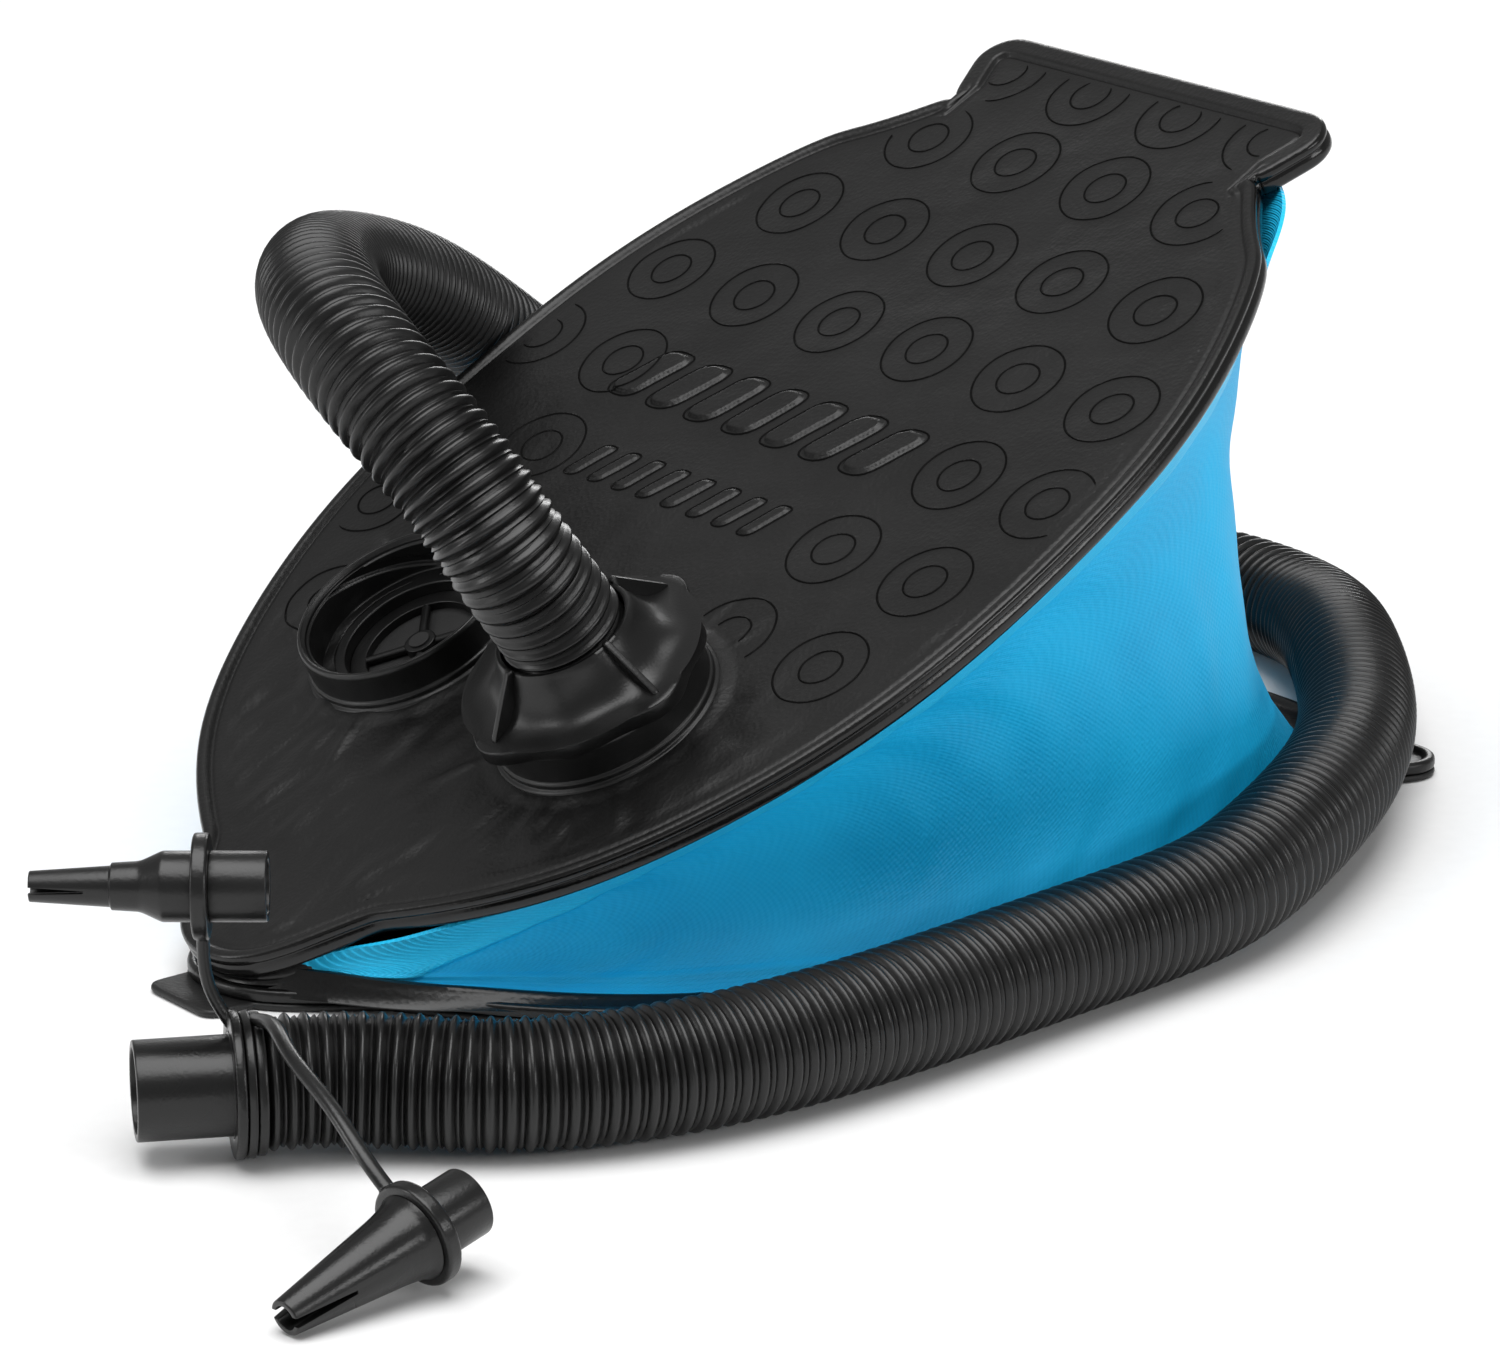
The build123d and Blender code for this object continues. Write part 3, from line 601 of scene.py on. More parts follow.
tread_rows = {
    -1: (-1.45, -0.5, 0.5, 1.45),
    0: (-1.5, -0.5, 0.5, 1.5),
    1: (-2, -1, 0, 1, 2),
    2: (-2.5, -1.5, -0.5, 0.5, 1.5, 2.5),
    3: (-3, -2, 1.85, 2.8),
    4: (-1.9, 1.5, 2.5),
    5: (-2.8, 1.4, 2.4),
    6: (-2.25,),
}
tread_first = 246.0 - half_length
tread_pitch = 27.07
tread_spacing = 28.16
line_width = 0.62
line_height = 0.16


def bar_row(x, y, middle, count, pitch, half_long, half_wide, slant):
    """A row of plain slanted bars running across the treadle."""
    total = np.zeros_like(x)
    for i in range(count):
        dy = y - middle[1] - (i - (count - 1) / 2) * pitch
        dx = x - middle[0]
        away = box_distance(dx, dy + slant * dx, half_long, half_wide, half_wide * 0.8)
        total = np.maximum(total, 1 - smooth_step(away, -0.3, 0.3))
    return total


big_bars = (164.0, 8.0)
small_bars = (138.5, 9.0)


def plain_marks(x, y):
    """Two rows of plain grip bars."""
    from_nose = x + half_length
    return np.maximum(
        0.7 * bar_row(from_nose, y, big_bars, 7, 12.6, 7.0, 3.6, 0.45),
        0.5 * bar_row(from_nose, y, small_bars, 8, 8.2, 4.6, 1.6, 0.45),
    )


def creases(x, y):
    """Soft folds in the skin, strongest round the ports and towards the nose."""
    draw = np.random.default_rng(11)
    total = np.zeros_like(x)
    for side in (1, -1):
        dx, dy = x - port_x, y - side * abs(port_y)
        reach = np.hypot(dx, dy)
        turn = np.arctan2(dy, dx)
        for _ in range(16):
            heading = draw.uniform(-pi, pi)
            width = draw.uniform(1.2, 2.6)
            size = draw.uniform(-0.45, 0.5)
            length = draw.uniform(8, 20)
            off = np.abs((turn - heading + pi) % (2 * pi) - pi) * reach
            fade = smooth_step(reach, 24, 29) * (1 - smooth_step(reach, 30, 32 + length))
            total += size * np.exp(-((off / width) ** 2)) * fade
    towards_nose = 1 - smooth_step(x + half_length, 60, 120)
    total += 0.22 * towards_nose * soft_noise(x, y, 17, 5, stretch=(1.0, 0.6))
    total += 0.25 * soft_noise(x, y, 60, 7)
    total += 0.07 * soft_noise(x, y, 12, 9)
    return total


def port_pads(x, y):
    """Raised foot of skin round each port."""
    total = np.zeros_like(x)
    for side in (1, -1):
        reach = np.hypot(x - port_x, y - side * abs(port_y))
        total += 0.8 * (1 - smooth_step(reach, 23.5, 27.5))
    return total


def treadle_relief(x, y, near):
    edge_fade = smooth_step(near, 0.0, 2.5)
    clear_of_ports = smooth_step(
        np.hypot(x - port_x, np.abs(y) - abs(port_y)), 26.0, 27.5
    )
    marks = plain_marks(x, y) * clear_of_ports
    return edge_fade * (marks + 1.5 * creases(x, y)) + port_pads(x, y)


def set_shine(piece, values):
    """Store how glossy each point is, for the skin material."""
    layer = piece.data.attributes.new("shine", "FLOAT", "POINT")
    layer.data.foreach_set("value", np.asarray(values, np.float32))


# the rim as (distance in from the edge, height above the treadle's top)
rim_round = [
    (3.0, -4.8),
    (1.4, -4.8),
    (0.6, -4.65),
    (0.15, -4.2),
    (0.0, -3.6),
    (0.0, -2.7),
    (0.12, -2.1),
    (0.42, -1.7),
    (0.5, -1.5),
    (0.36, -1.3),
    (0.14, -1.05),
    (0.05, -0.6),
    (0.12, 0.0),
    (0.4, 0.5),
    (0.9, 0.77),
    (1.5, 0.82),
]
rim_insets = [1.8, 2.1, 2.4, 2.7, 3.0, 3.3, 3.6, 3.95, 4.4, 4.8, 5.05, 5.3, 5.55, 5.8, 6.2]
side_rim = ([1.5, 2.1, 2.6, 3.0, 3.3, 3.6, 3.95, 4.4, 5.0, 6.2], [0.82, 0.74, 0.5, 0.1, -0.25, -0.32, -0.2, -0.03, 0, 0])
heel_rim = ([1.5, 4.6, 5.0, 5.3, 5.55, 5.8, 6.2], [0.82, 0.7, 0.45, -0.25, -0.42, -0.25, 0])


def treadle_rim():
    """The rim's profile at each place along the edge; the heel tab has a broad raised border."""
    heel = smooth_step(edge[:, 0], half_length - 26, half_length - 16)
    whole = np.ones(edge_count)
    rim = [(inset, height * whole) for inset, height in rim_round]
    for inset in rim_insets:
        side = np.interp(inset, *side_rim)
        border = np.interp(inset, *heel_rim)
        rim.append((inset, side + (border - side) * heel))
    return rim


def treadle_cover():
    holes = [(port_x, port_y, 17.6), (port_x, -port_y, 17.6)]
    grain = 1.2 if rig.quick() else 0.5
    rim = treadle_rim()
    piece = plate(
        "treadle_cover", edge, inward, rim, on_treadle, treadle_relief, -4.8, holes, grain
    )
    shine = np.zeros(len(piece.data.vertices))
    for row in range(len(rim) - 1):
        inset, height = rim[row][0], rim[row][1][0]
        gloss = 0.7 if height < 0.6 and inset < 1 else 0.0
        shine[row * edge_count : (row + 1) * edge_count] = gloss
    set_shine(piece, shine)
    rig.ride(piece, "treadle")
    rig.replaces(piece, "treadle_skin")
    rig.slot(piece, "skin")
    return piece


# ---- fine lines moulded into the treadle's top ----
# each grip mark is two plain rings, one inside the other
grip_ring_radii = (10.0, 4.6)


def ring_line(radius):
    """A whole circle round the origin; its last point meets its first."""
    turn = np.linspace(0, 2 * pi, 80)
    return radius * np.column_stack([np.cos(turn), np.sin(turn)])


def bar_outlines(middle, count, pitch, half_long, half_wide, slant):
    """The outline of each bar in a row of slanted bars."""
    corners = [(1, 1), (-1, 1), (-1, -1), (1, -1)]
    outline = rounded([(a * half_long, b * half_wide) for a, b in corners], half_wide * 0.9, 5)
    outline = np.concatenate([outline, outline[:1]])
    lines = []
    for i in range(count):
        across = middle[1] + (i - (count - 1) / 2) * pitch
        x, y = outline.T
        lines.append(np.column_stack([x + middle[0] - half_length, y - slant * x + across]))
    return lines


def treadle_lines():
    """Every fine line, cut where it would meet the rim or a port."""
    one_mark = [ring_line(radius) for radius in grip_ring_radii]
    lines = bar_outlines(big_bars, 7, 12.6, 8.0, 4.6, 0.45)
    lines += bar_outlines(small_bars, 8, 8.2, 5.2, 2.2, 0.45)
    for row, columns in tread_rows.items():
        along_treadle = tread_first - row * tread_pitch - (3.5 if row == -1 else 0)
        for column in columns:
            place = (along_treadle, -column * tread_spacing)
            lines += [line + place for line in one_mark]
    kept = []
    for line in lines:
        length = np.linalg.norm(np.diff(line, axis=0), axis=1).sum()
        line = evenly(line, max(5, int(length / 0.7)))
        near = np.linalg.norm(line[:, None] - edge[None], axis=2).argmin(axis=1)
        depth = ((line - edge[near]) * inward[near]).sum(axis=1)
        from_port = np.hypot(line[:, 0] - port_x, np.abs(line[:, 1]) - abs(port_y))
        good = (depth > 7.0) & (from_port > 28.5)
        breaks = np.nonzero(np.diff(good.astype(int)))[0] + 1
        for part, clear in zip(np.split(line, breaks), np.split(good, breaks)):
            if clear[0] and len(part) > 4:
                kept.append(part)
    return kept


def fine_lines():
    """Thin ribs along the lines; the ends of an open line are drawn down to nothing."""
    points = []
    faces = []
    for line in treadle_lines():
        way = directions(line)
        aside = np.column_stack([-way[:, 1], way[:, 0]])
        ends = np.minimum(np.arange(len(line)), np.arange(len(line))[::-1])
        is_closed = np.allclose(line[0], line[-1])
        full = np.ones((len(line), 1)) if is_closed else smooth_step(ends, -1.0, 2.0)[:, None]
        for across, lift in ((-0.5, -0.12), (-0.25, line_height), (0.25, line_height), (0.5, -0.12)):
            x, y = (line + aside * across * line_width * full).T
            ground = treadle_relief(x, y, np.full(len(x), 10.0))
            faces_start = sum(len(rows) for rows in points)
            if across == -0.5:
                faces += grid_faces(4, len(line), first=faces_start)
            points.append(on_treadle(x, y, ground + lift))
    piece = mesh_object("treadle_lines", np.concatenate(points), faces, sharp_angle=80)
    # painted shade mask: every point of the fine lines, whose specular the skin material cuts so they read dark
    layer = piece.data.attributes.new("groove", "FLOAT", "POINT")
    layer.data.foreach_set("value", np.ones(len(piece.data.vertices), np.float32))
    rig.ride(piece, "treadle")
    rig.replaces(piece, "treadle_skin")
    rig.slot(piece, "skin")
    return piece


# ---- base ----
base_rim = [
    (1.6, 1.5),
    (0.6, 1.55),
    (0.12, 1.85),
    (0.0, 2.3),
    (0.0, 3.2),
    (0.14, 3.75),
    (0.55, 4.1),
    (1.15, 4.22),
    (1.8, 4.05),
    (2.3, 3.65),
    (2.7, 3.25),
    (3.2, 3.02),
    (4.2, 3.0),
    (5.5, 3.0),
]
sole_rim = [(3.0, 0.0), (0.8, 0.0), (0.2, 0.15), (0.0, 0.55), (0.0, 0.95), (0.2, 1.35), (0.8, 1.5), (3.0, 1.5)]


def along_edge(profile, count):
    return [(inset, np.full(count, height)) for inset, height in profile]


def base_cover():
    def floor_of_bellows(x, y, near):
        return flange_top + 2.2 * smooth_step(near, 9.0, 11.5) + 0.05 * soft_noise(x, y, 25, 21)

    piece = plate(
        "base_cover", edge, inward, along_edge(base_rim, edge_count), on_base, floor_of_bellows, 1.5
    )
    shine = np.zeros(len(piece.data.vertices))
    shine[: 11 * edge_count] = 0.3
    set_shine(piece, shine)
    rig.ride(piece, "base")
    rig.replaces(piece, "base_skin")
    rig.slot(piece, "skin")
    return piece


tab_half_width = 11.0
tab_reach = -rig.box("base_sole")[0].x / mm


def sole():
    """Flat sole with a small rounded tab in front of the nose."""
    in_tab = (edge[:, 0] < 0) & (np.abs(edge[:, 1]) < tab_half_width)
    first = np.argmax(in_tab & ~np.roll(in_tab, 1))
    turned = np.roll(edge, -first, axis=0)
    rest = turned[np.count_nonzero(in_tab) :]
    tab = rounded(
        [
            rest[-1],
            (-tab_reach, np.sign(rest[-1][1]) * tab_half_width),
            (-tab_reach, -np.sign(rest[-1][1]) * tab_half_width),
            rest[0],
        ],
        4.0,
        steps=8,
        closed=False,
    )
    loop = np.concatenate([rest, tab[1:-1], rest[:1]])
    loop = evenly(loop, edge_count + 1)[:-1]
    step = np.roll(loop, -2, axis=0) - np.roll(loop, 2, axis=0)
    step = step / np.linalg.norm(step, axis=1)[:, None]
    inwards = np.stack([-step[:, 1], step[:, 0]], axis=1)
    piece = plate(
        "sole",
        loop,
        inwards,
        along_edge(sole_rim, edge_count),
        on_base,
        lambda x, y, near: np.full(len(x), sole_top),
        0.0,
    )
    set_shine(piece, np.full(len(piece.data.vertices), 0.6))
    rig.ride(piece, "base")
    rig.replaces(piece, "base_sole")
    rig.slot(piece, "sole")
    return piece


# ---- bellows wall ----
wall_columns = 480
wall_rows = 76
low_inset = 10.5
waist_inset = 19.0
high_inset = 3.0
weld_band = 10.0
low_heel = [(240, 57.0), (257, 40.0), 267.5]
waist_heel = [(225, 50.0), (234, 33.0), 238.0]
high_heel = [(240, 64.5), (260, 51.5), 270.0]
nose_inset = 4.2
nose_front = 5.0
nose_reach = 66.0
nose_rise = 4.6


def half_width(x):
    """Half the plate's width at a distance from the origin."""
    left = edge[edge[:, 1] > 0]
    order = np.argsort(left[:, 0])
    return float(np.interp(x, left[order, 0], left[order, 1]))


def wall_outline(inset, heel, count):
    """Closed outline of the fabric, inset from the plates; it starts at the heel's centre.

    heel lists (distance from the nose, half width) of the last places before the heel, then the
    heel's own distance from the nose.
    """
    stations = [8, 14, 21, 30, 43, 74, 111, 160, 206]
    left = []
    for x in stations:
        near_inset = nose_inset + (inset - nose_inset) * smooth_step(x, 10, nose_reach)
        left.append((x - half_length, wall_width(x) - near_inset))
    left += [(x - half_length, y) for x, y in heel[:-1]]
    right = [(x, -y) for x, y in left]
    nose = (nose_front - half_length, 0)
    loop = [*left[::-1], nose, *right, (heel[-1] - half_length, 0)]
    wrapped = loop[-4:] + loop + loop[:4]
    dense = spline(wrapped, 12 * count)
    start = np.argmin(np.linalg.norm(dense[: 5 * count] - loop[-1], axis=1))
    end = 7 * count + np.argmin(np.linalg.norm(dense[7 * count :] - loop[-1], axis=1))
    return evenly(dense[start : end + 1], count + 1)[:-1]


def wall_width(x):
    """Width that the fabric follows: the plate's own, without the notch beside the nose."""
    if x >= 43:
        return half_width(x - half_length)
    return half_width(43 - half_length) - (43 - x) * 1.02 - max(0, 21 - x) * 0.35


def foot_rise(x):
    """Height of the base's skin above its flange, where it climbs to meet the treadle's nose."""
    from_nose = x + half_length
    return nose_rise * np.clip((nose_reach - from_nose) / (nose_reach - nose_front), 0, 1) ** 1.25


def fold_share(points):
    """How far round the fold each point lies: 0 on the base's flange and 1 under the treadle."""
    base_gap = flange_top - hinge[2]
    treadle_gap = treadle_top - treadle_thickness
    reach = points[:, 0] - hinge[0]
    rise = points[:, 2] - hinge[2]
    lean = np.arctan2(rise, reach)
    far = np.hypot(reach, rise)
    low = np.arcsin(np.clip(base_gap / far, -0.9, 0.9))
    high = open_angle + np.arcsin(np.clip(treadle_gap / far, -0.9, 0.9))
    return np.clip((lean - low) / (high - low), 0, 1)


def bend_with(piece, first, second, share):
    """Bend a piece between two bodies, by each point's own share of the motion."""
    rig.blend(piece, first, second, start=tuple(hinge * mm), end=tuple(hinge * mm + up))
    piece.data.attributes["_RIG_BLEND"].data.foreach_set("value", share.astype(np.float32))


def mesh_points(piece):
    return np.array([v.co for v in piece.data.vertices], float) / mm


def wall_surface():
    """Grid of the fabric's outer face, from the base's flange up to the treadle."""
    low = wall_outline(low_inset, low_heel, wall_columns)
    waist = wall_outline(waist_inset, waist_heel, wall_columns)
    high = wall_outline(high_inset, high_heel, wall_columns)
    foot = on_base(low[:, 0], low[:, 1], flange_top + 0.05 + foot_rise(low[:, 0]))
    head = on_treadle(high[:, 0], high[:, 1], -treadle_thickness - 0.05)
    tilt = open_angle / 2
    middle_height = (flange_top - hinge[2] + treadle_top - treadle_thickness) / 2
    slope = np.array([cos(tilt), 0, sin(tilt)])
    square = np.array([-sin(tilt), 0, cos(tilt)])
    middle_origin = hinge - slope * hinge[0] + square * middle_height
    middle = middle_origin + waist[:, :1] * slope + waist[:, 1:] * across
    level = np.linspace(0, 1, wall_rows)
    level = 0.5 - 0.5 * np.cos(pi * level)
    level = 0.35 * level + 0.65 * np.linspace(0, 1, wall_rows)
    pull = (1 - np.abs(2 * level - 1) ** 2.5)[:, None, None]
    t = level[:, None, None]
    straight = foot * (1 - t) + head * t
    return straight + pull * (middle - (foot + head) / 2), level


def bellows():
    surface, level = wall_surface()
    rows, columns, _ = surface.shape
    round_step = np.roll(surface, -1, axis=1) - np.roll(surface, 1, axis=1)
    rise_step = np.gradient(surface, axis=0)
    outward = np.cross(rise_step, round_step)
    outward /= np.linalg.norm(outward, axis=2)[:, :, None]
    centre = surface.mean(axis=(0, 1))
    if (outward * (surface - centre)).sum() < 0:
        outward = -outward
    height = np.linalg.norm(surface[-1] - surface[0], axis=1)[None, :]
    up_wall = level[:, None] * height
    down_wall = (1 - level[:, None]) * height
    girth = np.cumsum(np.linalg.norm(round_step, axis=2), axis=1) / 2
    slack = np.sin(pi * level)[:, None] ** 0.7
    folds = 0.55 * soft_noise(girth, up_wall, 34, 31, stretch=(0.6, 2.2))
    folds += 0.16 * soft_noise(girth, up_wall, 11, 33, stretch=(0.8, 1.8))
    weld = 0.9 * (1 - smooth_step(down_wall, weld_band - 1.0, weld_band + 0.8))
    hem = 0.4 * np.exp(-((up_wall - 3.4) / 0.6) ** 2)
    shift = (folds * slack * np.minimum(height / 40, 1) + weld + hem)[:, :, None]
    outer = surface + outward * shift
    inner = outer - outward * 0.8
    points = np.concatenate([outer.reshape(-1, 3), inner[::-1].reshape(-1, 3)])
    faces = grid_faces(2 * rows, columns, wrap_rows=True, wrap_columns=True)
    piece = mesh_object("bellows", points, faces)
    face_outwards(piece)
    band = np.concatenate([down_wall, down_wall[::-1]]).ravel()
    layer = piece.data.attributes.new("below_rim", "FLOAT", "POINT")
    layer.data.foreach_set("value", band.astype(np.float32))
    foot_band = np.concatenate([up_wall, up_wall[::-1]]).ravel()
    layer = piece.data.attributes.new("above_base", "FLOAT", "POINT")
    layer.data.foreach_set("value", foot_band.astype(np.float32))
    girth_both = np.concatenate([girth, girth[::-1]]).ravel()
    layer = piece.data.attributes.new("round_wall", "FLOAT", "POINT")
    layer.data.foreach_set("value", girth_both.astype(np.float32))
    bend_with(piece, "base", "treadle", fold_share(mesh_points(piece)))
    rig.replaces(piece, "bellows_wall")
    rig.slot(piece, "fabric")
    return piece


def nose_web():
    """Skin of the base that climbs round the nose to the fabric's foot, with a welted edge."""
    foot = wall_outline(low_inset, low_heel, 1400)
    foot = foot[foot[:, 0] < nose_reach + 2 - half_length]
    foot = foot[np.argsort(np.arctan2(foot[:, 1], foot[:, 0] + half_length - 90) % (2 * pi))]
    foot = evenly(foot, 260)
    step = directions(foot)
    inwards = np.stack([-step[:, 1], step[:, 0]], axis=1)
    if (inwards * ([90 - half_length, 0] - foot)).sum() < 0:
        inwards = -inwards
    rise = foot_rise(foot[:, 0])
    share = (rise / nose_rise)[:, None]
    rows = []
    profile = [
        (-1.2, -0.3),
        (0.0, 0.62),
        (0.45, 1.0),
        (1.1, 1.05),
        (1.6, 0.86),
        (2.0, 0.62),
        (2.6, 0.4),
        (3.4, 0.2),
        (4.4, 0.05),
        (5.6, -0.06),
    ]
    for out, lift in profile:
        if out <= 1.6:
            low = foot - inwards * out
            height = flange_top + rise + lift * 1.1
        else:
            spread = 1.6 + (out - 1.6) * (0.55 + 0.45 * (1 - share))
            low = foot - inwards * spread
            slump = (out - 1.6) / 4.0
            height = flange_top + rise * (1 - smooth_step(slump, 0, 1)) * 0.9 + lift * 1.1
        rows.append(on_base(low[:, 0], low[:, 1], height))
    outer = np.array(rows)
    under = outer - up * 0.9
    under[-1] = outer[-1] - up * 0.2
    columns = len(foot)
    points = np.concatenate([outer.reshape(-1, 3), under[::-1].reshape(-1, 3)])
    count = 2 * len(profile)
    faces = grid_faces(count, columns, wrap_rows=True)
    faces.append(tuple(k * columns for k in range(count)))
    faces.append(tuple(k * columns + columns - 1 for k in range(count)))
    piece = mesh_object("nose_fold", points, faces)
    face_outwards(piece)
    set_shine(piece, np.full(len(points), 0.45))
    bend_with(piece, "base", "treadle", fold_share(mesh_points(piece)))
    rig.replaces(piece, "nose_hinge_web")
    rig.slot(piece, "skin")
    return piece


def nose_tuck():
    """Soft fold of skin that closes the gap between treadle and base across the nose."""
    front = edge[edge[:, 0] < 9 - half_length]
    front = front[np.argsort(front[:, 1])]
    line = evenly(front, 120)
    step = directions(line)
    inwards = np.stack([-step[:, 1], step[:, 0]], axis=1)
    if (inwards * ([0, 0] - line)).sum() < 0:
        inwards = -inwards
    rows = 15
    grid = []
    for k in range(rows):
        t = k / (rows - 1)
        bulge = 1.7 * sin(pi * t) ** 0.8 - 0.5 * np.exp(-(((t - 0.5) / 0.09) ** 2))
        low = line + inwards * (3.4 - bulge)
        base = on_base(low[:, 0], low[:, 1], flange_top - 0.2)
        head = on_treadle(low[:, 0], low[:, 1], -treadle_thickness + 0.3)
        grid.append(base * (1 - t) + head * t)
    outer = np.array(grid)
    back = np.concatenate([inwards, np.zeros((len(line), 1))], axis=1)
    points = np.concatenate([outer.reshape(-1, 3), (outer + back)[::-1].reshape(-1, 3)])
    columns = len(line)
    faces = grid_faces(2 * rows, columns, wrap_rows=True)
    faces.append(tuple(k * columns for k in range(2 * rows)))
    faces.append(tuple(k * columns + columns - 1 for k in range(2 * rows)))
    piece = mesh_object("nose_tuck", points, faces)
    face_outwards(piece)
    set_shine(piece, np.full(len(points), 0.3))
    bend_with(piece, "base", "treadle", fold_share(mesh_points(piece)))
    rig.slot(piece, "skin")
    return piece


# ---- spring ----
def spring():
    """Coil between the two seats; its ends lie flat and it leans with the treadle."""
    low_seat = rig.box("lower_spring_seat")
    middle_x = (low_seat[0].x + low_seat[1].x) / 2 / mm
    wire = 1.6
    seat_floor = 1.6
    turns = 5
    low_height = low_seat[0].z / mm + seat_floor + wire + 0.3 - hinge[2]
    high_height = treadle_top - treadle_thickness - seat_floor - wire - 0.3
    part = np.linspace(0, 1, 420)
    rise = np.clip((part - 0.14) / 0.72, 0, 1)
    radius = 35 - 8 * rise
    turn = 2 * pi * turns * part
    reach = middle_x + radius * np.cos(turn) - hinge[0]
    swing = open_angle * rise
    lift = low_height + (high_height - low_height) * rise
    line = np.stack(
        [
            hinge[0] + reach * np.cos(swing) - lift * np.sin(swing),
            radius * np.sin(turn),
            hinge[2] + reach * np.sin(swing) + lift * np.cos(swing),
        ],
        axis=1,
    )
    piece = tube("spring_coil", line, wire, count=14)
    share = np.repeat(rise, 14)
    bend_with(piece, "base", "treadle", share)
    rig.replaces(piece, "main_spring")
    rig.slot(piece, "spring_steel")
    return piece


# ---- hose ----
hose_crest = 12.5
hose_valley = 11.35
hose_pitch = 3.35
hose_round = 40
hose_inset = 12.0
fittings_length = 5.9
cone_top = 22.5

# places the hose passes through: distance from the nose, across, and up
hose_places = [
    (49.8, -31, 85),
    (43, -23.5, 99.5),
    (38.5, -6, 114.5),
    (42, 16, 123),
    (57, 44, 123.5),
    (84, 74, 116),
    (112, 93, 105),
    (146, 112, 85.5),
    (178, 124, 62),
    (206, 129, 39),
    (234, 124, 21),
    (264, 108, 12.8),
    (290, 83, 12.6),
    (305, 57, 12.6),
    (307, 30, 12.8),
    (298, 6, 14.8),
    (282, -17, 17.1),
    (261, -43, 17.3),
    (234, -68.5, 17.1),
    (192, -94.5, 15.9),
    (167, -104, 13.9),
    (138, -108, 12.8),
    (106, -111, 12.6),
    (52, -114.5, 12.6),
    (31, -112.5, 12.6),
    (11, -107, 12.6),
    (-6, -98, 12.8),
    (-19, -87, 13.3),
]


def hose_ring_radius(along_hose):
    """Outside radius: broad ridges with a thin one in each valley."""
    phase = (along_hose / hose_pitch) % 1
    broad = np.clip(1 - np.abs(phase - 0.34) / 0.30, 0, 1)
    thin = np.clip(1 - np.abs(phase - 0.82) / 0.13, 0, 1)
    broad = np.sin(broad * pi / 2) ** 0.8
    thin = 0.52 * np.sin(thin * pi / 2) ** 0.9
    return hose_valley + (hose_crest - hose_valley) * np.maximum(broad, thin)


def hose_line(count):
    x, y = port_x, -abs(port_y)
    first = on_treadle(np.array([x, x]), np.array([y, y]), np.array([hose_inset, cone_top + 0.5]))
    last = [centre_of_mouth + outlet_axis * (fittings_length + out) for out in (8.5, 0)]
    between = [(px - half_length, py, pz) for px, py, pz in hose_places]
    return spline([*first, *between, *last], count)


def hose():
    """Corrugated hose in two pieces: a short riser at the connector, and the rest."""
    rough = hose_line(400)
    total = np.linalg.norm(np.diff(rough, axis=0), axis=1).sum()
    per_pitch = 6 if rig.quick() else 10
    count = int(total / hose_pitch * per_pitch) + 1
    line = hose_line(count)
    run = np.linspace(0, total, count)
    side, lift = carried_frames(line)
    radius = hose_ring_radius(run)
    split = int(round(7 * per_pitch))
    arch_end = 0.16
    floor_start = 0.42
    pieces = []
    for name, first, last in (("hose_riser", 0, split), ("hose_run", split, count - 1)):
        rows = slice(first, last + 1)
        turn = np.arange(hose_round) * 2 * pi / hose_round
        circle = np.cos(turn)[:, None] * side[rows][:, None, :] + np.sin(turn)[:, None] * lift[rows][:, None, :]
        outer = line[rows][:, None, :] + radius[rows][:, None, None] * circle
        inner = line[rows][:, None, :] + (radius[rows][:, None, None] - 1.0) * circle
        inner = inner[:: per_pitch // 2][::-1] if name == "hose_run" else inner[::-1]
        grid = np.concatenate([outer, inner])
        faces = grid_faces(len(grid), hose_round, wrap_rows=True, wrap_columns=True)
        piece = mesh_object(name, grid.reshape(-1, 3), faces, sharp_angle=70)
        face_outwards(piece)
        steps = np.arange(first, last + 1)
        inner_steps = steps[:: per_pitch // 2][::-1] if name == "hose_run" else steps[::-1]
        where = np.repeat(np.concatenate([steps, inner_steps]), hose_round) / (count - 1)
        if name == "hose_riser":
            share = smooth_step(where * total, 16.0, split * hose_pitch / per_pitch)
            bend_with(piece, "cuff", "treadle", share)
        else:
            bend_with(piece, "treadle", "base", smooth_step(where, arch_end, floor_start))
        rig.slot(piece, "hose_plastic")
        pieces.append(piece)
    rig.replaces(pieces[1], "hose")
    return pieces


# ---- ports ----
port_rim = 9.5
thread_lead = 32.0


def thread_wave(r, h, turn):
    """Two quick-thread grooves cut into the cup's inside wall."""
    inside = (np.abs(r - 20.2) < 0.25) & (h > 1.6) & (h < 9.0)
    phase = (turn / (2 * pi) - h / thread_lead) * 2
    off = np.abs((phase + 0.5) % 1 - 0.5) * thread_lead / 2
    return np.where(inside, 1.0 * (1 - smooth_step(off, 0.9, 1.4)), 0.0)


